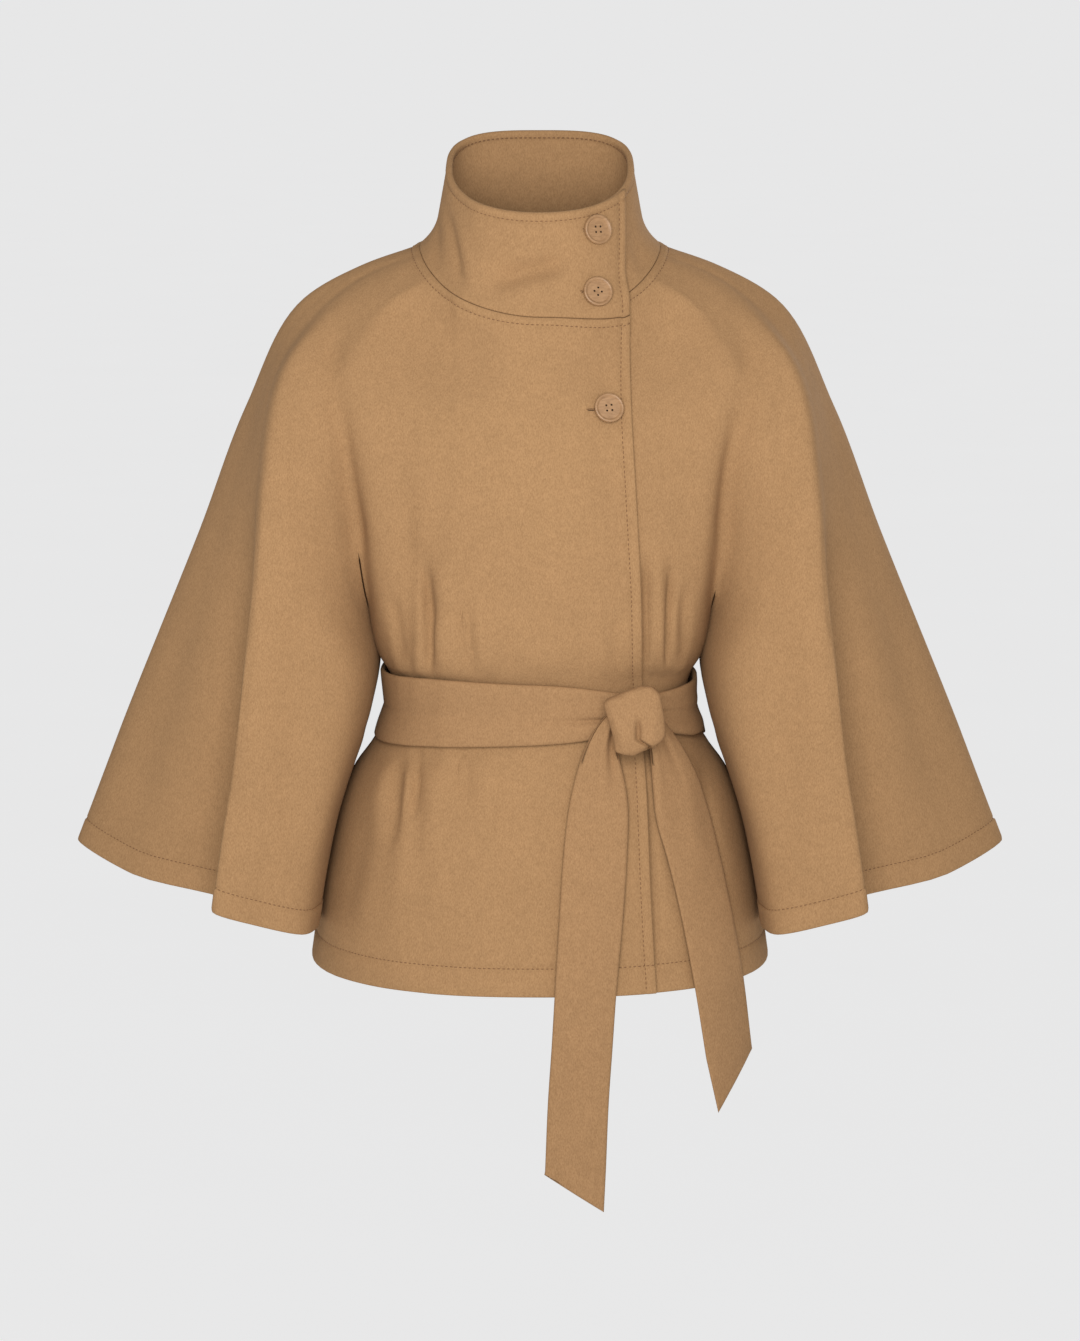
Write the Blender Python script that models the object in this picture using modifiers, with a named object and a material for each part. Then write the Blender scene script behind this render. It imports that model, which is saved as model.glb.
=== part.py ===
"""Belted wool cape jacket, filled out as it is worn, with nobody in it.

The garment is one smooth cloth form, worked out below from short tables of its sections,
and every sewn piece is a stretch of that form with its own wall: a right front, a left
front that runs on under it, a back, and a funnel collar that crosses itself at the front.
The sleeves are cut in one with the fronts and the back. A belt with a knot and two tails
ties the waist, and three four-hole buttons close the front edge.

Frame: metres, +Z up, the wearer faces -Y, +X is the wearer's left. The origin is the
centre of the neck opening at the height of the neck points.
"""
import math
from collections import namedtuple

import bmesh
import bpy
import numpy as np
from mathutils import Vector
from mathutils.bvhtree import BVHTree

MM = 0.001

# ---------------------------------------------------------------- driving dimensions, mm
CLOTH = 2.5            # wall of the fronts and the back
COLLAR_CLOTH = 3.5     # the collar is two layers
BELT_CLOTH = 4.5       # the belt is two layers
SEAM_GAP = 0.3         # between neighbouring pieces
LAYER_GAP = 0.6        # between the upper and the under layer where they cross
OVERLAP_COLLAR = COLLAR_CLOTH + LAYER_GAP  # the upper layer stands out by this at the neck
OVERLAP_FRONT = CLOTH + LAYER_GAP          # and by this below the yoke

NECK_HALF, NECK_FRONT, NECK_BACK = 107.0, 98.0, 75.0     # neck seam, half width and depths
NECK_FRONT_DROP, NECK_BACK_RISE = 56.0, 15.0
COLLAR_HALF, COLLAR_FRONT, COLLAR_BACK = 81.0, 78.0, 70.0  # collar's top edge
COLLAR_SIDE_Z, COLLAR_FRONT_Z, COLLAR_BACK_Z = 72.0, 33.0, 98.0
COLLAR_FLARE = 12.0    # the collar's foot spreads by this over its lowest third
NECK_POWER, BODY_POWER = 2.3, 2.4                        # how square each oval is
COLLAR_POWER, COLLAR_BACK_POWER = 2.2, 3.0
UNDERLAP = 57.0        # the under layer runs this far past the centre
UNDERLAP_U = 2 / 3     # the same, as a share of the way to the edge line
EDGE_AT_TOP = 71.0     # the front edge from the centre, at the collar's top

BUTTON_R, BUTTON_T = 12.7, 4.0
BUTTON_HOLE_R, BUTTON_HOLE_AT = 1.1, 2.6

# --------------------------------------------------- sections of the body, top to bottom
# centre_* is the centre front or back, side_* the valley between body and sleeve, which
# closes to the side seam at the underarm; round says how far the section has closed.
Body = namedtuple("Body", "ring front_z front_y edge_x side_x side_z front_valley"
                          " back_valley back_z back_y round")
BODY = [
    Body("yoke",      -92, -109, 77.0, 131.0,  -46,  -58, 55,  -25,  90, 0.10),
    Body("chest",    -150, -121, 79.0, 168.0, -124,  -88, 84, -105, 104, 0.20),
    Body("bust",     -215, -128, 83.0, 164.0, -212,  -82, 80, -190, 110, 0.50),
    Body("rib",      -290, -124, 87.0, 155.0, -300,  -54, 54, -275, 107, 0.80),
    Body("underarm", -354, -116, 88.0, 143.0, -367,    0,  0, -350,  99, 1.00),
    Body("belt_top", -372, -107, 88.5, 135.5, -379,    0,  0, -376,  90, 1.00),
    Body("belt_low", -431, -110, 90.0, 145.0, -441,    0,  0, -436,  93, 1.00),
    Body("hip",      -462, -121, 92.0, 163.0, -467,    0,  0, -464, 106, 1.00),
    Body("skirt",    -555, -138, 96.0, 189.0, -553,    0,  0, -550, 126, 1.00),
    Body("hem",      -645, -150, 101.0, 203.0, -643,   0,  0, -641, 140, 1.00),
]
# ------------------------------------------------------ sections of the sleeve, same rings
# seam_* is the underarm seam, tuck the wall beside the body, ridge the long fold down the
# sleeve's front, fold where the cloth turns back behind it, over the overarm seam.
Sleeve = namedtuple("Sleeve", "ring seam_x seam_z tuck_x tuck_y inner_x inner_y ridge_x"
                              " ridge_y ridge_z fold_x fold_y over_x over_y over_z"
                              " back_tuck_y back_inner_y back_ridge_x back_ridge_y"
                              " back_fold_x back_fold_y")
SLEEVE = [
    Sleeve("yoke",     131,  -46, 140, -52, 149,  -44, 162,  -33,  -34, 164, -20, 158, 4,
           -18, 50, 43, 162, 32, 163, 18),
    Sleeve("chest",    168, -124, 184, -87, 199,  -82, 218,  -70,  -98, 226, -44, 209, 5,
           -47, 83, 79, 216, 66, 226, 42),
    Sleeve("bust",     164, -212, 184, -88, 206,  -97, 239, -101, -205, 248, -78, 262, 10,
           -143, 84, 90, 236, 90, 252, 66),
    Sleeve("rib",      155, -300, 170, -76, 196, -101, 248, -112, -290, 251, -86, 305, 14,
           -254, 70, 92, 246, 99, 262, 76),
    Sleeve("underarm", 143, -367, 147, -44, 166,  -90, 258, -119, -368, 256, -90, 346, 17,
           -353, 42, 84, 256, 104, 272, 82),
    Sleeve("upper",    152, -412, 153, -52, 170,  -95, 263, -122, -412, 259, -92, 363, 18,
           -394, 48, 88, 262, 106, 278, 84),
    Sleeve("elbow",    169, -455, 167, -56, 179,  -98, 268, -124, -452, 262, -93, 378, 19,
           -431, 52, 90, 267, 108, 284, 85),
    Sleeve("forearm",  185, -500, 181, -62, 191, -103, 275, -126, -492, 267, -95, 392, 20,
           -467, 56, 93, 273, 110, 290, 86),
    Sleeve("low",      198, -548, 191, -68, 202, -107, 281, -128, -531, 271, -96, 406, 20,
           -503, 60, 95, 279, 112, 295, 87),
    Sleeve("cuff",     209, -600, 199, -76, 209, -112, 287, -130, -574, 276, -97, 421, 20,
           -541, 64, 98, 285, 114, 301, 88),
]
CLOSED_FROM = 5        # ring number of the underarm, counting the neck seam as 0
BELT_TOP, BELT_LOW = 6, 7
RINGS = 10             # ring number of the hem

# --------------------------------------------- gathers that the belt draws into the body
# at is the place round the body: 0 centre front, 1 edge, 4 side seam, 8 centre back, and
# below 0 on the wearer's right; above and below are the rings that a gather runs over
Gather = namedtuple("Gather", "at width rise above below")
GATHERS = [
    Gather(-0.35, 0.30, 2.0, 1.2, 1.2),
    Gather(-0.95, 0.24, 3.0, 1.7, 1.6),
    Gather(-1.62, 0.28, 4.6, 2.4, 2.2),
    Gather(-2.45, 0.36, 3.4, 1.5, 1.8),
    Gather(-4.90, 0.40, 3.2, 1.6, 1.8),
    Gather(-6.00, 0.36, 3.8, 2.0, 2.2),
    Gather(-7.10, 0.34, 3.2, 1.5, 1.6),
    Gather(+1.25, 0.22, 3.0, 2.0, 1.6),
    Gather(+1.85, 0.28, 4.2, 1.9, 2.0),
    Gather(+2.55, 0.34, 3.2, 1.4, 1.8),
    Gather(+5.00, 0.38, 3.4, 1.5, 2.0),
    Gather(+6.10, 0.36, 3.6, 1.9, 1.8),
    Gather(+7.20, 0.34, 3.0, 1.4, 1.8),
]
GIRTH = 16.0           # the whole way round, in the same measure

# ------------------------------------------------------------ the two belt tails, mm
Tail = namedtuple("Tail", "z left right")
TAIL_RIGHT = [
    Tail(-409, 50, 68), Tail(-432, 38, 68), Tail(-453, 31, 73), Tail(-474, 26, 76.5),
    Tail(-524, 20, 76), Tail(-570, 17, 73), Tail(-637, 13, 67), Tail(-690, 10, 63.5),
    Tail(-736, 7, 60.5), Tail(-801, 4.4, 58),
]
TAIL_RIGHT_TIP = (56.3, -836)
TAIL_LEFT = [
    Tail(-411, 93, 109), Tail(-432, 96, 124), Tail(-461, 98, 139), Tail(-491, 101, 149),
    Tail(-526, 111, 158), Tail(-566, 121, 167), Tail(-636, 135, 180), Tail(-709, 147, 189.5),
]
TAIL_LEFT_TIP = (158.5, -758)
# the knot's outline, from its centre: height, and how far it reaches to either side
Knot = namedtuple("Knot", "z left right")
KNOT = [
    Knot(30.5, 3, 13), Knot(24, -14, 20), Knot(15.5, -28, 22), Knot(6, -26, 24),
    Knot(-2, -23.5, 25), Knot(-15, -20, 24), Knot(-22, -19, 16), Knot(-27.5, -17, 4),
    Knot(-30.5, -7, -1),
]
KNOT_AT, KNOT_DEEP = (83.5, -403.0), 11.0
KNOT_GROOVE, KNOT_GROOVE_HALF = 0.24, 3.6      # share of its depth, and half its width
HEM_Z = -641
BELT_X = ((0, 1, 2, 3, 4), (0, 89, 110, 129, 137))   # line number and its x at the belt
BUTTONS = [(49, 18), (49, -35), (59, -133)]

# ------------------------------------------------------------------- mesh steps
# steps between the named lines of a half section, front centre round to back centre
STEPS = [6, 4, 3, 2, 1, 2, 2, 2, 3, 2, 3, 3, 2, 2, 2, 2, 2, 1, 2, 3, 3, 3]
RING_STEPS = [2, 2, 3, 3, 3, 1, 2, 1, 2, 2]
COLLAR_ROWS = (0.0, 0.08, 0.22, 0.48, 0.78, 1.0)

CAMEL = "#b98f67"
BELT_CAMEL = "#b88e68"
BUTTON_TAN = "#a3764c"


# ============================================================================ helpers
def linear(hex_colour):
    """Turn an sRGB hex colour to the linear values that a shader takes."""
    out = []
    for i in (1, 3, 5):
        c = int(hex_colour[i:i + 2], 16) / 255
        out.append(c / 12.92 if c <= 0.04045 else ((c + 0.055) / 1.055) ** 2.4)
    return (*out, 1.0)


def material(name, hex_colour, roughness):
    made = bpy.data.materials.new(name)
    made.use_nodes = True
    shader = made.node_tree.nodes["Principled BSDF"]
    shader.inputs["Base Color"].default_value = linear(hex_colour)
    shader.inputs["Roughness"].default_value = roughness
    shader.inputs["Metallic"].default_value = 0.0
    return made


def smooth(x):
    x = np.clip(x, 0.0, 1.0)
    return x * x * (3 - 2 * x)


def through(points, at, before=None, after=None):
    """Smooth curve through points; at counts along them, so 2.5 is halfway from 2 to 3.

    points is (n, ..., 3), and the curve's speed follows the chords between them."""
    points = np.asarray(points, float)
    n = len(points)
    first = points[0] * 2 - points[1] if before is None else np.asarray(before, float)
    last = points[-1] * 2 - points[-2] if after is None else np.asarray(after, float)
    full = np.concatenate([first[None], points, last[None]])
    chord = np.maximum(np.linalg.norm(np.diff(full, axis=0), axis=-1, keepdims=True), 1e-6)
    rate = np.diff(full, axis=0) / chord
    slope = (rate[:-1] * chord[1:] + rate[1:] * chord[:-1]) / (chord[1:] + chord[:-1])
    at = np.asarray(at, float)
    k = np.clip(np.floor(at).astype(int), 0, n - 2)
    t = at - k
    if points.ndim == 2:
        t = t[..., None]
        p0, p1, m0, m1, h = points[k], points[k + 1], slope[k], slope[k + 1], chord[1:][k]
    else:                                   # one curve for each column of points
        col = np.arange(points.shape[1])
        t = t[..., None]
        p0, p1 = points[k, col], points[k + 1, col]
        m0, m1, h = slope[k, col], slope[k + 1, col], chord[1:][k, col]
    return ((2 * t**3 - 3 * t**2 + 1) * p0 + (t**3 - 2 * t**2 + t) * h * m0
            + (3 * t**2 - 2 * t**3) * p1 + (t**3 - t**2) * h * m1)


def unit(vectors):
    return vectors / np.maximum(np.linalg.norm(vectors, axis=-1, keepdims=True), 1e-12)


def oval_y(x, half, depth, power):
    """How far an oval's wall stands from its long axis at x."""
    return depth * (1 - np.clip(np.abs(x) / half, 0, 1) ** power) ** (1 / power)


# ================================================================ the garment's form
# A half section has named lines: 0 centre front, 1 edge, 2 princess, 3 rib, 4 side front,
# 5 tuck, 6 inner, 7 crest, 8 ridge, 9 fold, 10 wing, 11 overarm, and then the same ones
# of the back from 12 wing to 18 side and 22 centre back.
LINE_SIDE, LINE_OVER, LINE_BACK_SIDE, LINES = 4, 11, 18, 22
NECK_X = [0, 76, 84, 89, 93, 96.5, 99.5, 102, 104, 105.5, 106.5, 107]
NECK_BACK_X = [106.5, 105.5, 104, 102, 99.5, 96.5, 93, 86, 66, 36, 0]


def neck_point(x, face):
    depth = NECK_FRONT if face < 0 else NECK_BACK
    y = face * oval_y(x, NECK_HALF, depth, NECK_POWER)
    share = np.abs(y) / depth
    z = -NECK_FRONT_DROP * share**1.6 if face < 0 else NECK_BACK_RISE * share**1.5
    return np.stack([x + 0 * y, y, z], axis=-1)


def seam_normal(points):
    """The way the cloth is cut through at the neck seam, shared by collar and panels."""
    x, y = points[..., 0], points[..., 1]
    depth = np.where(y < 0, NECK_FRONT, NECK_BACK)
    plan = np.stack([np.sign(x) * np.abs(x / NECK_HALF) ** (NECK_POWER - 1) / NECK_HALF,
                     np.sign(y) * np.abs(y / depth) ** (NECK_POWER - 1) / depth, 0 * x], -1)
    rise = 0.22 + 0.45 * (x / NECK_HALF) ** 2
    return unit(unit(plan) * np.sqrt(1 - rise**2)[..., None]
                + np.stack([0 * x, 0 * x, rise], -1))


def neck_section():
    front = neck_point(np.array(NECK_X, float), -1)
    back = neck_point(np.array(NECK_BACK_X, float), +1)
    return np.concatenate([front, back])


def body_point(row, x, face):
    """A point of a body section: an open S-curve above, an oval once it has closed."""
    t = x / row.side_x
    centre, centre_z, valley = ((row.front_y, row.front_z, row.front_valley) if face < 0
                                else (row.back_y, row.back_z, row.back_valley))
    arch = (1 - t**BODY_POWER) ** (1 / BODY_POWER)
    wave = 0.5 + 0.5 * math.cos(math.pi * t)
    y = valley + (centre - valley) * (row.round * arch + (1 - row.round) * wave)
    return (x, y, centre_z + (row.side_z - centre_z) * t * t)


def sleeve_points(row, side_y, back_side_y):
    """The sleeve's named lines, 4 to 18, of one section."""
    def level(share):                       # height from the underarm out to the ridge
        return row.seam_z + (row.ridge_z - row.seam_z) * share

    def out(share):                         # height from the ridge out to the overarm
        return row.ridge_z + (row.over_z - row.ridge_z) * share

    bulge = max(0.07 * (row.over_x - row.fold_x), 4)
    mid = 0.55
    return [
        (row.seam_x, side_y, row.seam_z),
        (row.tuck_x, row.tuck_y, level(-0.04)),
        (row.inner_x, row.inner_y, level(0.06)),
        (0.5 * (row.inner_x + row.ridge_x), 0.35 * row.inner_y + 0.65 * row.ridge_y - 3,
         level(0.5)),
        (row.ridge_x, row.ridge_y, row.ridge_z),
        (row.fold_x, row.fold_y, out(0.02)),
        (row.fold_x + mid * (row.over_x - row.fold_x) + bulge,
         row.fold_y + mid * (row.over_y - row.fold_y) - bulge, out(0.44)),
        (row.over_x, row.over_y, row.over_z),
        (row.back_fold_x + 0.55 * (row.over_x - row.back_fold_x) + bulge,
         row.back_fold_y + 0.5 * (row.over_y - row.back_fold_y) + bulge, out(0.44)),
        (row.back_fold_x, row.back_fold_y, out(0.08)),
        (row.back_ridge_x, row.back_ridge_y, row.ridge_z),
        (0.5 * (row.inner_x + row.back_ridge_x),
         0.35 * row.back_inner_y + 0.65 * row.back_ridge_y + 2, level(0.5)),
        (row.inner_x, row.back_inner_y, level(0.06)),
        (row.tuck_x, row.back_tuck_y, level(-0.04)),
        (row.seam_x, back_side_y, row.seam_z),
    ]


def body_lines(row):
    front = [body_point(row, x, -1) for x in
             (0, row.edge_x, 0.55 * row.edge_x + 0.45 * row.side_x,
              0.2 * row.edge_x + 0.8 * row.side_x, row.side_x)]
    back = [body_point(row, share * row.side_x, +1) for share in (1, 0.94, 0.76, 0.42, 0)]
    return front, back


def mirrored(point):
    return np.array([-point[0], point[1], point[2]])


def form_columns():
    """Places round the half section, one list for each stretch, body front, sleeve, back."""
    out = [0.0]
    for line, steps in enumerate(STEPS):
        for k in range(1, steps + 1):
            out.append(line + k / steps)
    out = np.array(out)
    eps = 1e-9
    return (out[out <= LINE_SIDE + eps],
            out[(out >= LINE_SIDE - eps) & (out <= LINE_BACK_SIDE + eps)],
            out[out >= LINE_BACK_SIDE - eps])


def ring_sections(front_u, sleeve_u, back_u):
    """Every ring's points at the wanted places, as three arrays (ring, column, 3)."""
    front, sleeve, back = [], [], []
    neck = neck_section()
    ends = dict(before=mirrored(neck[1]), after=mirrored(neck[-2]))
    front.append(through(neck, front_u, **ends))
    sleeve.append(through(neck, sleeve_u, **ends))
    back.append(through(neck, back_u, **ends))
    for ring, (b, s) in enumerate(zip(BODY, SLEEVE), start=1):
        fore, aft = body_lines(b)
        arm = sleeve_points(s, fore[-1][1], aft[0][1])
        if ring < CLOSED_FROM:
            line = np.array(fore + arm[1:-1] + aft)
            ends = dict(before=mirrored(line[1]), after=mirrored(line[-2]))
            front.append(through(line, front_u, **ends))
            sleeve.append(through(line, sleeve_u, **ends))
            back.append(through(line, back_u, **ends))
        else:
            line = np.array(fore + aft[1:])
            ends = dict(before=mirrored(line[1]), after=mirrored(line[-2]))
            front.append(through(line, front_u, **ends))
            back.append(through(line, back_u - LINE_BACK_SIDE + LINE_SIDE, **ends))
            arm = np.array(arm)
            sleeve.append(through(arm, sleeve_u - LINE_SIDE, before=arm[-2], after=arm[1]))
    return np.array(front), np.array(sleeve), np.array(back)


def gather_lift(place, v):
    """How far the gathers lift the cloth at a place round the body and a ring v."""
    lift = np.zeros(np.broadcast(place, v).shape)
    for g in GATHERS:
        off = np.abs(place - g.at) % GIRTH
        across = np.exp(-(np.minimum(off, GIRTH - off) / g.width) ** 2)
        above = (smooth((v - CLOSED_FROM - 0.2 + g.above) / g.above)
                 * (1 - smooth((v - CLOSED_FROM - 0.2) / 0.7)))
        below = smooth((v - BELT_LOW - 0.05) / 0.7) * (1 - smooth((v - 7.9) / g.below))
        lift = lift + g.rise * across * (above + below)
    return lift


class Form:
    """One half of the garment's outer surface, sampled on a grid of columns and rings.

    Its parts are 0 the body's front, 1 the sleeve and 2 the body's back."""

    def __init__(self, half, drop=0.0):
        self.half = half
        self.u = form_columns()
        self.v = np.concatenate([[0.0]] + [ring + np.arange(1, n + 1) / n
                                           for ring, n in enumerate(RING_STEPS)])
        self.rings = ring_sections(*self.u)
        self.points = []
        for part, u in enumerate(self.u):
            v = np.repeat(self.v[:, None], len(u), axis=1)
            if drop:                        # the upper layer starts below its own neck seam
                start = drop * smooth(u)
                v = np.where(v < 1, start + v * (1 - start), v)
            self.points.append(self.sample(part, v))
        self.normals = vertex_normals(self.points)
        for part, (grid, normals) in enumerate(zip(self.points, self.normals)):
            own = smooth(self.u[0])[:, None] if drop and part == 0 else 0.0
            normals[0] = unit(own * normals[0] + (1 - own) * seam_normal(grid[0]))

    def sample(self, part, v):
        """The outer surface of a part at the ring numbers v, an array (row, column)."""
        u, ring = self.u[part], self.rings[part]
        grid = np.array([through(ring, row) for row in v])
        meet = 0.5 * (self.rings[0][6][-1] + self.rings[1][6][0])
        for column in ([-1], [0, -1], [0])[part]:     # the valley ends at the underarm
            upper = through(ring[:CLOSED_FROM + 1, column],
                            np.clip(v[:, column], 0, CLOSED_FROM), after=meet)
            lower = through(ring[CLOSED_FROM:, column],
                            np.clip(v[:, column] - CLOSED_FROM, 0, RINGS - CLOSED_FROM))
            is_open = (v[:, column] <= CLOSED_FROM)[:, None]
            grid[:, column] = np.where(is_open, upper, lower)
        if part != 1:
            place = u if part == 0 else u - LINE_BACK_SIDE + LINE_SIDE
            out = grid[..., :2] / np.maximum(
                np.linalg.norm(grid[..., :2], axis=-1, keepdims=True), 1)
            grid[..., :2] += out * gather_lift(self.half * place[None], v)[..., None]
        grid[..., 0] *= self.half
        return grid

    def part(self, index):
        return self.points[index], self.normals[index]


def vertex_normals(grids):
    """Outward normals of several grids whose touching edges are shared."""
    total = {}
    sign = -1.0 if sum(g[..., 0].mean() for g in grids) > 0 else 1.0

    def key(p):
        return tuple(np.round(p, 3))

    for g in grids:
        cross = np.cross(g[1:, 1:] - g[:-1, :-1], g[1:, :-1] - g[:-1, 1:]) * sign
        for (i, j) in np.ndindex(cross.shape[:2]):
            for corner in ((i, j), (i + 1, j), (i, j + 1), (i + 1, j + 1)):
                k = key(g[corner])
                total[k] = total.get(k, 0) + cross[i, j]
    out = []
    for g in grids:
        n = np.zeros_like(g)
        for ij in np.ndindex(g.shape[:2]):
            n[ij] = total[key(g[ij])]
            if abs(g[ij][0]) < 1e-6:        # the halves meet smoothly at the centre
                n[ij][0] = 0.0
        out.append(n / np.linalg.norm(n, axis=-1, keepdims=True))
    return out


# ================================================================== cloth as a wall
def cloth_wall(name, strips, wall, finish, shrink=True):
    """Build one closed solid from strips of (outer points, normals, wanted lift).

    Strips of a piece share the points where they touch. The inner face is the outer one
    moved in by the wall, and the rim closes both round every free edge."""
    index, outer, inward, faces = {}, [], [], []
    for points, normals, lift in strips:
        lift = np.broadcast_to(lift, points.shape[:2])
        ids = np.zeros(points.shape[:2], int)
        for ij in np.ndindex(points.shape[:2]):
            k = tuple(np.round(points[ij], 3))
            if k not in index:
                index[k] = len(outer)
                outer.append(points[ij] + normals[ij] * lift[ij])
                inward.append(normals[ij])
            ids[ij] = index[k]
        for i, j in np.ndindex(ids.shape[0] - 1, ids.shape[1] - 1):
            faces.append((ids[i, j], ids[i + 1, j], ids[i + 1, j + 1]))
            faces.append((ids[i, j], ids[i + 1, j + 1], ids[i, j + 1]))
    outer, inward = np.array(outer), np.array(inward)

    edges = {}
    for f in faces:                         # layers that lie close are split the same way
        for a, b in zip(f, f[1:] + f[:1]):
            edges.setdefault(tuple(sorted((a, b))), []).append((a, b))
    rim = [pair[0] for pair in edges.values() if len(pair) == 1]
    on_rim = {a for pair in rim for a in pair}

    if shrink:                              # each free edge keeps half the gap to its seam
        along = np.zeros_like(outer)
        into = np.zeros_like(outer)
        for a, b in rim:
            along[a] += outer[b] - outer[a]
            along[b] += outer[b] - outer[a]
        for a, b in edges:
            for p, q in ((a, b), (b, a)):
                if p in on_rim and q not in on_rim:
                    into[p] += outer[q] - outer[p]
        for p in on_rim:
            t = along[p] / max(np.linalg.norm(along[p]), 1e-9)
            d = into[p] - t * np.dot(into[p], t)
            d = d - inward[p] * np.dot(d, inward[p])
            size = np.linalg.norm(d)
            if size > 1e-6:
                outer[p] += d / size * SEAM_GAP / 2

    inner = outer - inward * wall
    mesh = bmesh.new()
    verts = [mesh.verts.new(Vector(p) * MM) for p in (*outer, *inner)]
    n = len(outer)
    for f in faces:
        mesh.faces.new([verts[i] for i in f])
        mesh.faces.new([verts[i + n] for i in reversed(f)])
    for a, b in rim:
        mesh.faces.new([verts[b], verts[a], verts[a + n], verts[b + n]])
    bmesh.ops.recalc_face_normals(mesh, faces=mesh.faces)
    return finished(name, mesh, finish)


def finished(name, mesh, finish):
    data = bpy.data.meshes.new(name)
    mesh.to_mesh(data)
    mesh.free()
    data.shade_smooth()
    data.set_sharp_from_angle(angle=math.radians(40))
    data.materials.append(finish)
    made = bpy.data.objects.new(name, data)
    GARMENT.objects.link(made)
    return made


# =========================================================================== pieces
def overlap_share(neck_x):
    """1 where the upper layer covers the under one, 0 before the sleeve."""
    return 1 - smooth((neck_x - (UNDERLAP + 6)) / (93 - UNDERLAP - 6))


def front_lift(u, v):
    neck_x = np.interp(u, range(len(NECK_X)), NECK_X)
    size = OVERLAP_FRONT + (OVERLAP_COLLAR - OVERLAP_FRONT) * (1 - smooth(v))
    return overlap_share(neck_x)[None] * size[:, None]


def right_front(plain, crossing, finish):
    body, body_n = plain.part(0)
    sleeve, sleeve_n = plain.part(1)
    half = int(np.argmin(np.abs(plain.u[1] - LINE_OVER))) + 1
    edge = int(np.argmin(np.abs(crossing.u[0] - 1))) + 1
    over, over_n = crossing.part(0)
    lift = front_lift(plain.u[0], plain.v)
    over_lift = np.repeat(
        (OVERLAP_FRONT + (OVERLAP_COLLAR - OVERLAP_FRONT) * (1 - smooth(plain.v)))[:, None],
        edge, axis=1)
    strips = [(over[:, :edge], over_n[:, :edge], over_lift), (body, body_n, lift),
              (sleeve[:, :half], sleeve_n[:, :half], np.zeros((len(plain.v), half)))]
    return cloth_wall("front_right", strips, CLOTH, finish)


def left_front(plain, other, finish):
    body, body_n = plain.part(0)
    sleeve, sleeve_n = plain.part(1)
    half = int(np.argmin(np.abs(plain.u[1] - LINE_OVER))) + 1
    reach = int(np.argmin(np.abs(other.u[0] - UNDERLAP_U))) + 1
    under, under_n = other.part(0)
    strips = [(under[:, :reach], under_n[:, :reach], 0.0), (body, body_n, 0.0),
              (sleeve[:, :half], sleeve_n[:, :half], 0.0)]
    return cloth_wall("front_left", strips, CLOTH, finish)


def back(forms, finish):
    strips = []
    for form in forms:
        sleeve, sleeve_n = form.part(1)
        half = int(np.argmin(np.abs(form.u[1] - LINE_OVER)))
        strips.append((sleeve[:, half:], sleeve_n[:, half:], 0.0))
        body, body_n = form.part(2)
        strips.append((body, body_n, 0.0))
    return cloth_wall("back", strips, CLOTH, finish)


def collar_point(phi, h):
    """The collar's outer surface; phi runs from the centre front to the wearer's right."""
    s, c = math.sin(phi), math.cos(phi)
    face = -1 if c > 0 else 1
    foot_x = NECK_HALF * abs(s) ** (2 / NECK_POWER)
    foot = neck_point(np.array(foot_x), face)
    depth, top_z, power = ((COLLAR_FRONT, COLLAR_FRONT_Z, COLLAR_POWER) if face < 0
                           else (COLLAR_BACK, COLLAR_BACK_Z, COLLAR_BACK_POWER))
    x = COLLAR_HALF * abs(s) ** (2 / power)
    y = face * depth * abs(c) ** (2 / power)
    top = np.array([x, y, COLLAR_SIDE_Z + (top_z - COLLAR_SIDE_Z) * abs(y) / depth])
    inset = COLLAR_FLARE * (abs(s) * 0.6 + 0.4) * (1 - face * -0.5 * (abs(c) ** 2))
    out = foot + (top - foot) * h
    pull = inset * (1 - h) * (1 - (1 - min(h / 0.34, 1)) ** 2)
    plan = out[:2] / max(np.linalg.norm(out[:2]), 1)
    out[:2] -= plan * pull
    out[0] *= -1 if s > 0 else 1
    return out


def collar_columns(right, left, crossing):
    """The collar's columns in order: foot on the neck seam, neck point, cut normal, angle."""
    def angle(x):
        return math.asin(min(abs(x) / NECK_HALF, 1.0) ** (NECK_POWER / 2))

    def columns(form, part, turn, order=1, keep=None):
        grid, normals = form.part(part)
        picked = [j for j, u in enumerate(form.u[part]) if keep is None or keep(u)]
        return [(grid[0, j], grid[0, j], normals[0, j], turn(angle(grid[0, j][0])))
                for j in picked[::order]]

    def on_line(low, high):
        return lambda u: low < u < high and abs(u - round(u)) < 1e-6

    edge = [j for j, u in enumerate(crossing.u[0]) if u < 1 + 1e-6]
    out = [(crossing.points[0][0, j], left.points[0][0, j], crossing.normals[0][0, j],
            -angle(left.points[0][0, j][0])) for j in edge[:0:-1]]
    for form, start, order in ((right, 0.0, 1), (left, math.pi, -1)):
        near, far = (lambda a, s=start: s + a), (lambda a, s=start: s + math.pi - a)
        if form is left:
            near, far = far, near
        quarter = [columns(form, 0, near, order),
                   columns(form, 1, near, order, on_line(LINE_SIDE, LINE_OVER + 0.5)),
                   columns(form, 1, far, order, on_line(LINE_OVER + 0.5, LINE_BACK_SIDE)),
                   columns(form, 2, far, order)]
        for stretch in quarter[::order]:
            out += stretch if not out or form is right or order == -1 else stretch[1:]
        if form is right:
            out.pop()                       # the centre back comes again with the left half
    reach = lambda u: 0 < u <= UNDERLAP_U + 1e-6
    out += columns(right, 0, lambda a: 2 * math.pi + a, 1, reach)
    return out


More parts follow.
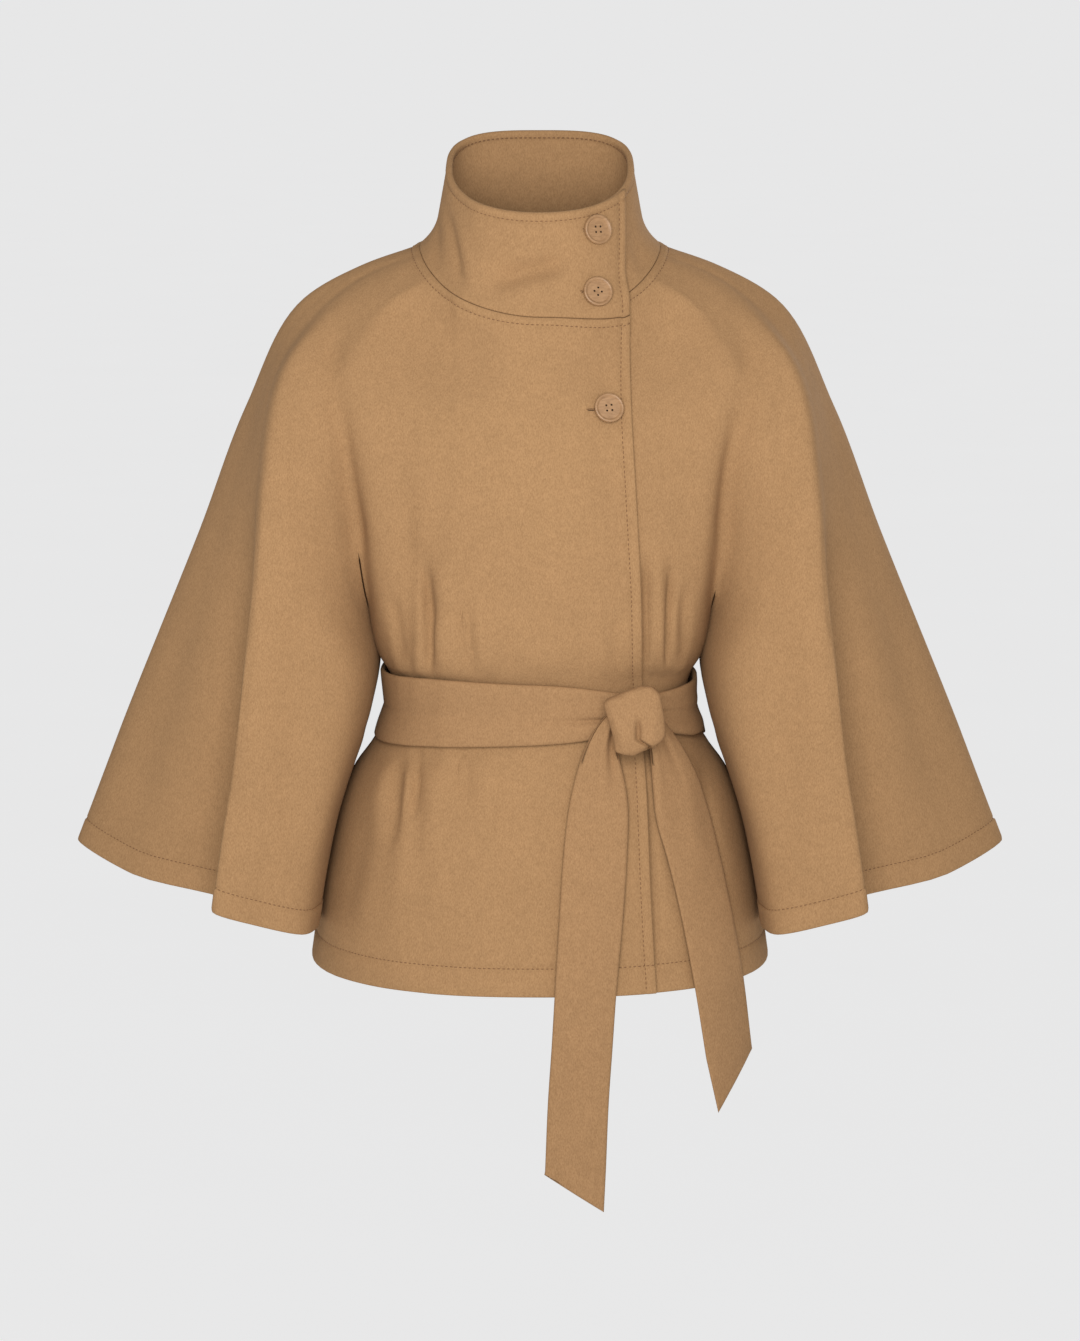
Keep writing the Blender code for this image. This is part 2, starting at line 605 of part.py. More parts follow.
def collar(right, left, crossing, finish):
    """One band: from the upper edge, round by the wearer's right, to the underlap."""
    top_edge = math.asin((EDGE_AT_TOP / COLLAR_HALF) ** (COLLAR_POWER / 2))
    columns = collar_columns(right, left, crossing)
    spread = top_edge / abs(columns[0][3]) - 1
    grid = []
    for foot, neck, _, phi in columns:
        path = [foot + (neck - foot) * k / 6 for k in range(6)] if phi < -1e-6 else []
        slip = neck - collar_point(phi, 0)
        for h in np.linspace(0, 1, 25):
            turn = phi * (1 + spread * h) if phi < 0 else phi
            path.append(collar_point(turn, h) + slip * max(0.0, 1 - 4 * h))
        path = np.array(path)
        run = np.concatenate([[0], np.cumsum(np.linalg.norm(np.diff(path, axis=0), axis=1))])
        # the second row lies on the under layer's neck seam wherever the foot is below it
        first = max(COLLAR_ROWS[1] * run[-1], float(np.linalg.norm(neck - foot)))
        rest = (np.array(COLLAR_ROWS[1:]) - COLLAR_ROWS[1]) / (1 - COLLAR_ROWS[1])
        want = [0.0, *(first + rest * (run[-1] - first))]
        grid.append([[np.interp(w, run, path[:, k]) for k in range(3)] for w in want])
    grid = np.array(grid).transpose(1, 0, 2)
    normals = unit(np.cross(np.gradient(grid, axis=1), np.gradient(grid, axis=0)))
    normals *= np.sign((normals[..., :2] * grid[..., :2]).sum())
    normals[0] = np.array([cut for _, _, cut, _ in columns])
    phi = np.array([angle for _, _, _, angle in columns])
    neck_x = np.array([abs(neck[0]) for _, neck, _, _ in columns])
    share = np.where(phi < 0, 1.0, np.where(phi < math.pi / 2, overlap_share(neck_x), 0.0))
    outer = grid + normals * OVERLAP_COLLAR * share[None, :, None]
    outer[0] += np.array([0, 0, SEAM_GAP])
    return band_wall("collar", outer, outer - normals * COLLAR_CLOTH, finish)


def band_wall(name, outer, inner, finish, closed=False):
    """A band between two grids of points (row, column); its ends may pass each other."""
    rows, cols = outer.shape[:2]
    mesh = bmesh.new()
    a = [[mesh.verts.new(Vector(p) * MM) for p in row] for row in outer]
    b = [[mesh.verts.new(Vector(p) * MM) for p in row] for row in inner]
    for j in range(cols if closed else cols - 1):
        k = (j + 1) % cols
        for i in range(rows - 1):
            mesh.faces.new([a[i][j], a[i + 1][j], a[i + 1][k], a[i][k]])
            mesh.faces.new([b[i][j], b[i][k], b[i + 1][k], b[i + 1][j]])
        for i in (0, rows - 1):
            mesh.faces.new([a[i][j], a[i][k], b[i][k], b[i][j]])
    for j in () if closed else (0, cols - 1):
        for i in range(rows - 1):
            mesh.faces.new([a[i][j], a[i + 1][j], b[i + 1][j], b[i][j]])
    bmesh.ops.recalc_face_normals(mesh, faces=mesh.faces)
    return finished(name, mesh, finish)


# ----------------------------------------------------------------- belt, knot and tails
def belt_band(forms, finish):
    """A ring round the cinched waist, drawn narrower where it runs under the knot."""
    right, left = forms
    loops = []
    for form, part, order in ((left, 0, 1), (left, 2, 1), (right, 2, -1), (right, 0, -1)):
        u = form.u[part]
        x = np.interp(u, *BELT_X) * form.half if part == 0 else np.full(len(u), 999.0)
        near = np.exp(-((x - KNOT_AT[0]) / 52.0) ** 2)[:, None]
        rows = [form.points[part][int(np.argmin(np.abs(form.v - ring)))]
                for ring in (BELT_TOP, 0.5 * (BELT_TOP + BELT_LOW), BELT_LOW)]
        grid = np.array([rows[0] + (rows[1] - rows[0]) * (0.06 + 0.34 * near), rows[1],
                         rows[2] + (rows[1] - rows[2]) * (0.08 + 0.44 * near)])
        if part == 0:
            neck_x = np.interp(u, range(len(NECK_X)), NECK_X)
            lift = (overlap_share(neck_x) if form is right else 1 - smooth((u - 1) / 0.8))
        else:
            lift = np.zeros(len(u))
        loops.append((grid[:, ::order][:, :-1], lift[::order][:-1]))
    grid = np.concatenate([g for g, _ in loops], axis=1)
    lift = np.concatenate([k for _, k in loops]) * OVERLAP_FRONT + SEAM_GAP + 0.25
    ahead, behind = np.roll(grid, -1, axis=1), np.roll(grid, 1, axis=1)
    out = np.cross(ahead - behind, np.array([0, 0, 1.0]))
    out[..., 2] = 0
    out /= np.linalg.norm(out, axis=-1, keepdims=True)
    out *= np.sign((out * grid).sum())
    inner = grid + out * lift[None, :, None]
    return band_wall("belt_band", inner + out * BELT_CLOTH, inner, finish, closed=True)


def tree_of(*objects):
    """One search tree of the faces of several solids, for seating others on them."""
    verts, faces = [], []
    for made in objects:
        start = len(verts)
        verts += [v.co.copy() for v in made.data.vertices]
        faces += [[start + i for i in f.vertices] for f in made.data.polygons]
    return BVHTree.FromPolygons(verts, faces)


def front_y(tree, x, z):
    """Where the front's outermost cloth lies at x and z, in mm."""
    hit = tree.ray_cast(Vector((x, -900, z)) * MM, Vector((0, 1, 0)))[0]
    return None if hit is None else hit.y / MM


def room_behind(tree, grid):
    """How far a strip can move back until it meets the cloth that carries it."""
    room = []
    for i, j in np.ndindex(grid.shape[0] - 1, grid.shape[1] - 1):
        for s in np.linspace(0, 1, 41):
            for t in np.linspace(0, 1, 4):
                p = ((grid[i, j] * (1 - t) + grid[i, j + 1] * t) * (1 - s)
                     + (grid[i + 1, j] * (1 - t) + grid[i + 1, j + 1] * t) * s)
                y = front_y(tree, p[0], p[2])
                if y is not None:
                    room.append(y - p[1])
    return min(room)


def belt_tail(name, rows, tip, tip_on_left, tree, finish):
    """A doubled strip that leaves the knot gathered, lies on the skirt and hangs free."""
    across = np.linspace(0, 1, 6)
    zs = [r.z for r in rows]
    step = np.array(zs[:3] + list(np.linspace(zs[3], zs[-1], 11)))
    left = np.interp(-step, [-z for z in zs], [r.left for r in rows])
    right = np.interp(-step, [-z for z in zs], [r.right for r in rows])
    grid = np.zeros((len(step) + 1, len(across), 3))
    for i, z in enumerate(step):
        for j, share in enumerate(across):
            x = left[i] + (right[i] - left[i]) * share
            near = [front_y(tree, x, max(z + dz, HEM_Z)) for dz in (-16, -8, 0, 8, 16)]
            clear = 1.3 if z < HEM_Z + 40 else 0.0
            grid[i, j] = (x, min(y for y in near if y is not None) - clear, z)
    y = grid[:-1, :, 1]
    for _ in range(3):                      # the strip is stiff, so it evens out the skirt
        y[1:-1] = np.minimum(y[1:-1], 0.5 * y[1:-1] + 0.25 * (y[:-2] + y[2:]))
    end = grid[-2]
    for j, share in enumerate(across):      # the slanted end
        cut = 1 - share if tip_on_left else share
        grid[-1, j] = (end[j][0] + 0.0, end[j][1], end[0][2] + (tip[1] - end[0][2]) * cut - 3)
    grid[-1, :, 0] = np.linspace(tip[0] if tip_on_left else left[-1] - 0.6,
                                 right[-1] + 0.6 if tip_on_left else tip[0], len(across))
    grid[..., 1] += room_behind(tree, grid) - SEAM_GAP - 0.05
    outer = grid.copy()
    outer[..., 1] -= BELT_CLOTH
    return band_wall(name, outer, grid, finish)


def belt_knot(tree, finish):
    """The knot: a squat cushion of cloth, creased where one turn tucks into the other."""
    mesh = bmesh.new()
    bmesh.ops.create_uvsphere(mesh, u_segments=26, v_segments=14, radius=1.0)
    levels = [row.z for row in KNOT[::-1]]
    for v in mesh.verts:
        x, y, z = v.co
        wide = max(math.sqrt(max(1 - z * z, 0.0)), 1e-6)
        high = levels[-1] * math.copysign(abs(z) ** 0.85, z)
        left = np.interp(high, levels, [row.left for row in KNOT[::-1]])
        right = np.interp(high, levels, [row.right for row in KNOT[::-1]])
        across = 0.5 * (left + right) + 0.5 * (right - left) * x / wide
        crease = 2.0 + 9.0 * smooth((-12.0 - high) / 10.0)
        groove = KNOT_GROOVE * math.exp(-((across - crease) / KNOT_GROOVE_HALF) ** 2)
        groove *= smooth((6.0 - high) / 6.0) * (y < 0)
        deep = math.copysign(abs(y) ** 0.8, y)
        v.co = Vector((KNOT_AT[0] + across, KNOT_DEEP * deep * (1 - groove),
                       KNOT_AT[1] + high))
    room = min(front_y(tree, v.co.x, v.co.z) - v.co.y for v in mesh.verts)
    for v in mesh.verts:                    # set back until it rests on the belt and tails
        v.co.y += room - SEAM_GAP - 0.05
        v.co *= MM
    bmesh.ops.recalc_face_normals(mesh, faces=mesh.faces)
    return finished("belt_knot", mesh, finish)


# ---------------------------------------------------------------------------- buttons
def button(name, x, z, tree, finish):
    """A turned four-hole button, seated square on the cloth under it."""
    ring = [Vector((x + BUTTON_R * math.cos(a), 0, z + BUTTON_R * math.sin(a)))
            for a in np.linspace(0, 2 * math.pi, 12, endpoint=False)]
    hits = [Vector((p.x, front_y(tree, p.x, p.z), p.z)) for p in ring]
    middle = Vector((x, front_y(tree, x, z), z))
    normal = Vector((0, 0, 0))
    for k, p in enumerate(hits):
        normal += (p - middle).cross(hits[(k + 1) % len(hits)] - middle)
    normal.normalize()
    if normal.y > 0:
        normal.negate()
    seat = max((p - middle).dot(normal) for p in (*hits, middle)) + SEAM_GAP
    place = (middle + normal * seat) * MM
    turn = normal.to_track_quat("Z", "Y")

    r, t = BUTTON_R, BUTTON_T
    profile = [(0, t - 1.4), (r - 3.6, t - 1.3), (r - 2.4, t), (r - 0.9, t), (r, t - 1.0),
               (r, 1.0), (r - 1.0, 0), (0, 0)]
    data = bpy.data.meshes.new(name)
    data.from_pydata([(a * MM, 0, b * MM) for a, b in profile],
                     [(k, k + 1) for k in range(len(profile) - 1)], [])
    data.materials.append(finish)
    made = bpy.data.objects.new(name, data)
    GARMENT.objects.link(made)
    spin = made.modifiers.new("Turned", "SCREW")
    spin.steps = spin.render_steps = 24
    spin.use_merge_vertices = True
    spin.merge_threshold = 0.00005
    spin.use_smooth_shade = True

    mesh = bmesh.new()
    for k in range(4):
        a = math.radians(45 + 90 * k)
        hole = bmesh.ops.create_cone(mesh, cap_ends=True, segments=8,
                                     radius1=BUTTON_HOLE_R * MM, radius2=BUTTON_HOLE_R * MM,
                                     depth=4 * BUTTON_T * MM)
        bmesh.ops.translate(mesh, verts=hole["verts"],
                            vec=Vector((math.cos(a), math.sin(a), 0)) * BUTTON_HOLE_AT * MM)
    holes = bpy.data.meshes.new(name + "_holes")
    mesh.to_mesh(holes)
    mesh.free()
    cutter = bpy.data.objects.new(name + "_holes", holes)
    CUTTERS.objects.link(cutter)
    cutter.hide_render = True
    cutter.display_type = "WIRE"
    cut = made.modifiers.new("Holes", "BOOLEAN")
    cut.operation = "DIFFERENCE"
    cut.solver = "EXACT"
    cut.object = cutter
    for piece in (made, cutter):
        piece.location = place
        piece.rotation_euler = turn.to_euler()
    return made


# ============================================================================ build
for old in list(bpy.data.objects):
    bpy.data.objects.remove(old, do_unlink=True)
GARMENT = bpy.data.collections.new("wool_cape_jacket")
CUTTERS = bpy.data.collections.new("cutters")
for collection in (GARMENT, CUTTERS):
    bpy.context.scene.collection.children.link(collection)

melton = material("camel_melton", CAMEL, 0.95)
belt_melton = material("camel_melton_belt", BELT_CAMEL, 0.95)
horn = material("tan_button", BUTTON_TAN, 0.45)

right_form, left_form = Form(-1), Form(+1)
left_crossing = Form(+1, drop=0.47)

front = right_front(right_form, left_crossing, melton)
under = left_front(left_form, right_form, melton)
back((right_form, left_form), melton)
neck = collar(right_form, left_form, left_crossing, melton)
band = belt_band((right_form, left_form), belt_melton)

waist = tree_of(front, under, band)
tails = [belt_tail("belt_tail_right", TAIL_RIGHT, TAIL_RIGHT_TIP, False, waist, belt_melton),
         belt_tail("belt_tail_left", TAIL_LEFT, TAIL_LEFT_TIP, True, waist, belt_melton)]
belt_knot(tree_of(front, under, band, *tails), belt_melton)
for number, (x, z) in enumerate(BUTTONS, start=1):
    button(f"button_{number}", x, z, tree_of(neck, front), horn)
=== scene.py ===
# %% [markdown]
# # A belted wool cape jacket
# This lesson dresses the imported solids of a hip-length cape jacket: a smooth cloth form with
# wide sleeves cut in one with the body, a tall funnel collar that crosses itself at the front,
# three buttons, and a belt with a knot and two tails. All sizes are in millimetres until a
# mesh is made, and the frame is the solids' own: +Z up, the wearer faces -Y.

# %% The frame and its box
import math
from collections import namedtuple

import bmesh
import bpy
import numpy as np
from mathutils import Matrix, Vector
from mathutils.bvhtree import BVHTree


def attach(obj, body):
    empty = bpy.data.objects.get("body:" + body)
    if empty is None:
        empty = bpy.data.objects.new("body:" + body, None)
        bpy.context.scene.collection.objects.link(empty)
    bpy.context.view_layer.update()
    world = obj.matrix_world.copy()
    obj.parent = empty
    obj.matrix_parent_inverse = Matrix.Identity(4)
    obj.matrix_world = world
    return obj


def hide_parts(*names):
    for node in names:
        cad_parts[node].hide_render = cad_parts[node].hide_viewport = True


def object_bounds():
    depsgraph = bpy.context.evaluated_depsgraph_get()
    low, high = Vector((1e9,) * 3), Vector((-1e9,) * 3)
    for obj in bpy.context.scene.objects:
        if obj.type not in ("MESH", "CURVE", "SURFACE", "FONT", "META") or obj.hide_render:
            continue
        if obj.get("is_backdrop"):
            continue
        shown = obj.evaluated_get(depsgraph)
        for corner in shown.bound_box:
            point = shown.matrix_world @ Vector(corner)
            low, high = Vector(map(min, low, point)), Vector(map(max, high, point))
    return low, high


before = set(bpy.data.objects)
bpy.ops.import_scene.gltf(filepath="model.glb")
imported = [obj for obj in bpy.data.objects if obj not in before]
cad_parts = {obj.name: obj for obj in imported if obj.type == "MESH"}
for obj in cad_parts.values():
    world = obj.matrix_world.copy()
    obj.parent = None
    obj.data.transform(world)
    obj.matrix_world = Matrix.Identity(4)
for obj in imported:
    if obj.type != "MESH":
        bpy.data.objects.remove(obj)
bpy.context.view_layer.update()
bpy.ops.object.select_all(action="DESELECT")
MM = 0.001

# %% [markdown]
# ## Colours and nodes
# A dyer matches cloth against an sRGB swatch, so every colour here is written as the hex
# value of a swatch. A shader works in linear light, so one function converts them. One more
# small helper adds a node with its settings and links, and every material below uses it.

# %% A swatch colour and a node helper
def swatch(hex_colour):
    """Turn an sRGB hex colour to the linear colour that a shader takes."""
    out = []
    for i in (1, 3, 5):
        c = int(hex_colour[i:i + 2], 16) / 255
        out.append(c / 12.92 if c <= 0.04045 else ((c + 0.055) / 1.055) ** 2.4)
    return (*out, 1.0)


def wire(material, node, **sockets):
    """Set or link a node's input sockets by name; _0 is its first socket, and so on."""
    for key, value in sockets.items():
        socket = node.inputs[int(key[1:])] if key[0] == "_" else node.inputs[key.replace("_", " ")]
        if isinstance(value, bpy.types.NodeSocket):
            material.node_tree.links.new(value, socket)
        else:
            socket.default_value = value
    return node


def add_node(material, kind, settings=None, **sockets):
    """Add a node, set its properties, and set or link its input sockets by name."""
    made = material.node_tree.nodes.new(kind)
    for key, value in (settings or {}).items():
        setattr(made, key, value)
    return wire(material, made, **sockets)


def set_ends(ramp, *ends):
    """Give the two ends of a ramp their places and swatches."""
    for end, (place, hex_colour) in zip(ramp.color_ramp.elements, ends):
        end.position, end.color = place, swatch(hex_colour)


def new_finish(name):
    """A new material, its shader, and the piece's own coordinates for a pattern."""
    made = bpy.data.materials.new(name)
    made.use_nodes = True
    place = add_node(made, "ShaderNodeTexCoord").outputs["Object"]
    return made, made.node_tree.nodes["Principled BSDF"], place


def flecked(name, dark, light, flecks, detail=2.0, **sockets):
    """A plain finish mottled between two swatches, with so many flecks to the metre."""
    made, shader, place = new_finish(name)
    noise = add_node(made, "ShaderNodeTexNoise", Vector=place, Scale=flecks, Detail=detail)
    ramp = add_node(made, "ShaderNodeValToRGB", Fac=noise.outputs[0])
    set_ends(ramp, (0.0, dark), (1.0, light))
    wire(made, shader, Base_Color=ramp.outputs["Color"], **sockets)
    return made


print("camel in linear light:", [round(c, 3) for c in swatch("#957350")[:3]])

# %% [markdown]
# ## Melton wool
# Melton is woven, then milled until its fibres felt over and hide the weave, then sheared.
# The eye sees no threads: it sees a dull, slightly hairy surface with a fine speckle of
# lighter and darker fibres about half a millimetre wide, faint cloudy patches where the nap
# lies another way, and a soft pale rim of light from the hairs at grazing angles. The speckle
# is drawn a little coarse, about 1 mm, so that it still shows from a few steps away.

# %% Melton wool
FIBRE_MM, CLOUD_MM, NAP_MM = 1.0, 34.0, 6.0


def melton_wool(name, light, mid, dark, seed):
    made, shader, place = new_finish(name)
    moved = add_node(made, "ShaderNodeMapping", Vector=place, Location=(seed, 2 * seed, 0),
                     Rotation=(0.0, 0.35, 0.0), Scale=(1.0, 1.0, 0.45)).outputs["Vector"]
    fibres = add_node(made, "ShaderNodeTexNoise", Vector=moved, Scale=1000 / FIBRE_MM,
                      Detail=3.0, Roughness=0.65).outputs[0]
    nap = add_node(made, "ShaderNodeTexNoise", Vector=place, Scale=1000 / NAP_MM,
                   Detail=4.0, Roughness=0.6).outputs[0]
    cloud = add_node(made, "ShaderNodeTexNoise", Vector=place, Scale=1000 / CLOUD_MM,
                     Detail=2.0, Roughness=0.5).outputs[0]
    ramp = add_node(made, "ShaderNodeValToRGB", Fac=fibres)
    set_ends(ramp, (0.34, dark), (0.66, light))
    ramp.color_ramp.elements.new(0.5).color = swatch(mid)
    worn = add_node(made, "ShaderNodeMapRange", Value=nap, From_Min=0.3, From_Max=0.7,
                    To_Min=0.955, To_Max=1.045).outputs["Result"]
    patch = add_node(made, "ShaderNodeMapRange", Value=cloud, From_Min=0.3, From_Max=0.7,
                     To_Min=0.975, To_Max=1.02).outputs["Result"]
    both = add_node(made, "ShaderNodeMath", {"operation": "MULTIPLY"}, _0=worn, _1=patch)
    colour = add_node(made, "ShaderNodeHueSaturation", Color=ramp.outputs["Color"],
                      Value=both.outputs[0])
    height = add_node(made, "ShaderNodeMath", {"operation": "MULTIPLY_ADD"},
                      _0=nap, _1=0.9, _2=fibres)
    bump = add_node(made, "ShaderNodeBump", Height=height.outputs[0], Strength=0.4,
                    Distance=0.0004)
    wire(made, shader, Base_Color=colour.outputs["Color"], Normal=bump.outputs["Normal"],
         Roughness=0.95, IOR=1.45, Specular_IOR_Level=0.08, Sheen_Weight=0.03,
         Sheen_Roughness=0.55, Sheen_Tint=swatch("#f2dcc0"))
    return made


MELTON = melton_wool("camel melton wool", "#9d7a56", "#957350", "#8b6a49", 0.0)
BELT_MELTON = melton_wool("camel melton wool, belt", "#9b7855", "#93714f", "#896848", 0.7)
print("wool finishes:", MELTON.name, "and", BELT_MELTON.name)

# %% [markdown]
# ## Thread and horn
# The seams are topstitched in polyester thread a shade darker than the cloth: a tight round
# strand that takes a thin highlight. The buttons are polyester cast and turned to look like
# horn: satin, with soft streaks of two browns that run across the blank.

# %% Thread and horn-look polyester
def horn_polyester():
    made, shader, place = new_finish("horn-look cast polyester")
    streak = add_node(made, "ShaderNodeMapping", Vector=place, Rotation=(0.0, 0.6, 0.0),
                      Scale=(1.0, 1.0, 4.0)).outputs["Vector"]
    grain = add_node(made, "ShaderNodeTexNoise", Vector=streak, Scale=150.0, Detail=4.0,
                     Roughness=0.55, Distortion=0.8).outputs[0]
    ramp = add_node(made, "ShaderNodeValToRGB", Fac=grain)
    set_ends(ramp, (0.3, "#866443"), (0.7, "#9d7853"))
    rough = add_node(made, "ShaderNodeMapRange", Value=grain, To_Min=0.34, To_Max=0.5)
    wire(made, shader, Base_Color=ramp.outputs["Color"], Roughness=rough.outputs["Result"])
    return made


HORN = horn_polyester()
THREAD = flecked("polyester sewing thread", "#5a3a1e", "#7c5632", 900.0, 1.0, Roughness=0.6)
# painted shade: a dark brown that stands in for the shade inside a buttonhole or a drilled hole
HOLE_SHADE = flecked("painted shade of buttonholes and drilled holes", "#2a1a0d", "#4d331c", 700.0, Roughness=1.0)
print("materials made:", len(bpy.data.materials))

# %% [markdown]
# ## The cloth's form
# The jacket hangs as one smooth surface. A pattern cutter would describe it by its sections:
# ten rings from the yoke to the hem, each with its centre front, edge, side valley, sleeve
# ridge and overarm. A smooth curve runs through the named points of each ring, and another
# from ring to ring, so a few short tables give the whole shape, and every panel is cut from
# it. Mesh code is the right tool here, since every seam has to meet its neighbour exactly.

# %% Named sizes and sections, mm
CLOTH, COLLAR_CLOTH, BELT_CLOTH = 2.5, 3.5, 4.5
SEAM_GAP, LAYER_GAP = 0.3, 0.6     # air under what lies on the cloth, and between two layers
TOUCH = 0.04                   # two sewn edges meet, so no light comes through a seam
OVERLAP_COLLAR, OVERLAP_FRONT = COLLAR_CLOTH + LAYER_GAP, CLOTH + LAYER_GAP

NECK_HALF, NECK_FRONT, NECK_BACK = 107.0, 98.0, 75.0
NECK_FRONT_DROP, NECK_BACK_RISE = 56.0, 15.0
COLLAR_HALF, COLLAR_FRONT, COLLAR_BACK = 81.0, 78.0, 70.0
COLLAR_SIDE_Z, COLLAR_FRONT_Z, COLLAR_BACK_Z = 72.0, 33.0, 98.0
COLLAR_FLARE = 12.0
NECK_POWER, BODY_POWER = 2.3, 2.4
COLLAR_POWER, COLLAR_BACK_POWER = 2.2, 3.0
UNDERLAP, UNDERLAP_U = 57.0, 2 / 3
EDGE_AT_TOP = 71.0
UPPER_DROP = 0.47      # the upper layer's neck seam, as a share of the yoke

Body = namedtuple("Body", "ring front_z front_y edge_x side_x side_z front_valley"
                          " back_valley back_z back_y round")
BODY = [
    Body("yoke",      -92, -109, 77.0, 131.0,  -46,  -58, 55,  -25,  90, 0.10),
    Body("chest",    -150, -121, 79.0, 168.0, -124,  -88, 84, -105, 104, 0.20),
    Body("bust",     -215, -128, 83.0, 164.0, -212,  -82, 80, -190, 110, 0.50),
    Body("rib",      -290, -124, 87.0, 155.0, -300,  -54, 54, -275, 107, 0.80),
    Body("underarm", -354, -116, 88.0, 143.0, -367,    0,  0, -350,  99, 1.00),
    Body("belt_top", -372, -107, 88.5, 135.5, -379,    0,  0, -376,  90, 1.00),
    Body("belt_low", -431, -110, 90.0, 145.0, -441,    0,  0, -436,  93, 1.00),
    Body("hip",      -462, -121, 92.0, 163.0, -467,    0,  0, -464, 106, 1.00),
    Body("skirt",    -555, -138, 96.0, 189.0, -553,    0,  0, -550, 126, 1.00),
    Body("hem",      -645, -150, 101.0, 203.0, -643,   0,  0, -641, 140, 1.00),
]
Sleeve = namedtuple("Sleeve", "ring seam_x seam_z tuck_x tuck_y inner_x inner_y ridge_x"
                              " ridge_y ridge_z fold_x fold_y over_x over_y over_z"
                              " back_tuck_y back_inner_y back_ridge_x back_ridge_y"
                              " back_fold_x back_fold_y")
SLEEVE = [
    Sleeve("yoke",     131,  -46, 140, -52, 149,  -44, 162,  -33,  -34, 164, -20, 158, 4,
           -18, 50, 43, 162, 32, 163, 18),
    Sleeve("chest",    168, -124, 184, -87, 199,  -82, 218,  -70,  -98, 226, -44, 209, 5,
           -47, 83, 79, 216, 66, 226, 42),
    Sleeve("bust",     164, -212, 184, -88, 206,  -97, 239, -101, -205, 248, -78, 262, 10,
           -143, 84, 90, 236, 90, 252, 66),
    Sleeve("rib",      155, -300, 170, -76, 196, -101, 248, -112, -290, 251, -86, 305, 14,
           -254, 70, 92, 246, 99, 262, 76),
    Sleeve("underarm", 143, -367, 147, -44, 166,  -90, 258, -119, -368, 256, -90, 346, 17,
           -353, 42, 84, 256, 104, 272, 82),
    Sleeve("upper",    152, -412, 153, -52, 170,  -95, 263, -122, -412, 259, -92, 363, 18,
           -394, 48, 88, 262, 106, 278, 84),
    Sleeve("elbow",    169, -455, 167, -56, 179,  -98, 268, -124, -452, 262, -93, 378, 19,
           -431, 52, 90, 267, 108, 284, 85),
    Sleeve("forearm",  185, -500, 181, -62, 191, -103, 275, -126, -492, 267, -95, 392, 20,
           -467, 56, 93, 273, 110, 290, 86),
    Sleeve("low",      198, -548, 191, -68, 202, -107, 281, -128, -531, 271, -96, 406, 20,
           -503, 60, 95, 279, 112, 295, 87),
    Sleeve("cuff",     209, -600, 199, -76, 209, -112, 287, -130, -574, 276, -97, 421, 20,
           -541, 64, 98, 285, 114, 301, 88),
]
CLOSED_FROM, BELT_TOP, BELT_LOW, RINGS = 5, 6, 7, 10

# at is the place round the body: 0 centre front, 1 edge, 4 side seam, 8 centre back, and
# below 0 on the wearer's right; above and below are the rings that a gather runs over
Gather = namedtuple("Gather", "at width rise above below")
GATHERS = [Gather(*row) for row in (
    (-0.35, 0.30, 2.0, 1.2, 1.2), (-0.95, 0.24, 3.0, 1.7, 1.6), (-1.62, 0.28, 4.6, 2.4, 2.2),
    (-2.45, 0.36, 3.4, 1.5, 1.8), (-4.90, 0.40, 3.2, 1.6, 1.8), (-6.00, 0.36, 3.8, 2.0, 2.2),
    (-7.10, 0.34, 3.2, 1.5, 1.6), (+1.25, 0.22, 3.0, 2.0, 1.6), (+1.85, 0.28, 4.2, 1.9, 2.0),
    (+2.55, 0.34, 3.2, 1.4, 1.8), (+5.00, 0.38, 3.4, 1.5, 2.0), (+6.10, 0.36, 3.6, 1.9, 1.8),
    (+7.20, 0.34, 3.0, 1.4, 1.8),
)]
GIRTH = 16.0

# columns between the named lines of a half section, and rows between its rings
FINE, FINE_ROWS = 3, 4
STEPS = [6, 4, 3, 2, 1, 2, 2, 2, 3, 2, 3, 3, 2, 2, 2, 2, 2, 1, 2, 3, 3, 3]
RING_STEPS = [2, 2, 3, 3, 3, 1, 2, 1, 2, 2]

# rows and columns that lie at set distances from an edge, so that stitching can follow it
NECK_ROWS, NECK_STITCH = (0.0, 3.6, 5.6, 7.0, 8.4, 11.5, 16.0), 3
BODY_HEM_ROWS = (0.0, 3.6, 9.0, 16.0, 23.0, 25.0, 27.0, 32.0)
SLEEVE_HEM_ROWS = (0.0, 3.6, 8.0, 14.0, 20.0, 22.0, 24.0, 28.0)
HEM_STITCH = 5
EDGE_COLUMNS, EDGE_STITCH = (0.0, 3.6, 7.4, 9.0, 10.6, 15.0), 3
PUFF, GROOVE = 0.80, 0.80      # how far a doubled edge stands out, and its stitches sink
print("rings:", ", ".join(row.ring for row in BODY))

# %% [markdown]
# The largest folds are in the sections already. The softer ones are listed: each row
# below is a trough or, below zero, a ridge along a line on the front or the back, with its
# two ends, its half width and its depth in millimetres. They are as uneven as the cloth is:
# most fan out from the belt, a few hang down the sleeves, and two or three cross the yoke.

# %% Creases, listed one by one
Crease = namedtuple("Crease", "face x0 z0 x1 z1 wide deep")


def creases(front, back):
    """Creases from two tables, of those on the front and of those on the back."""
    return [Crease(-1, *row) for row in front] + [Crease(+1, *row) for row in back]


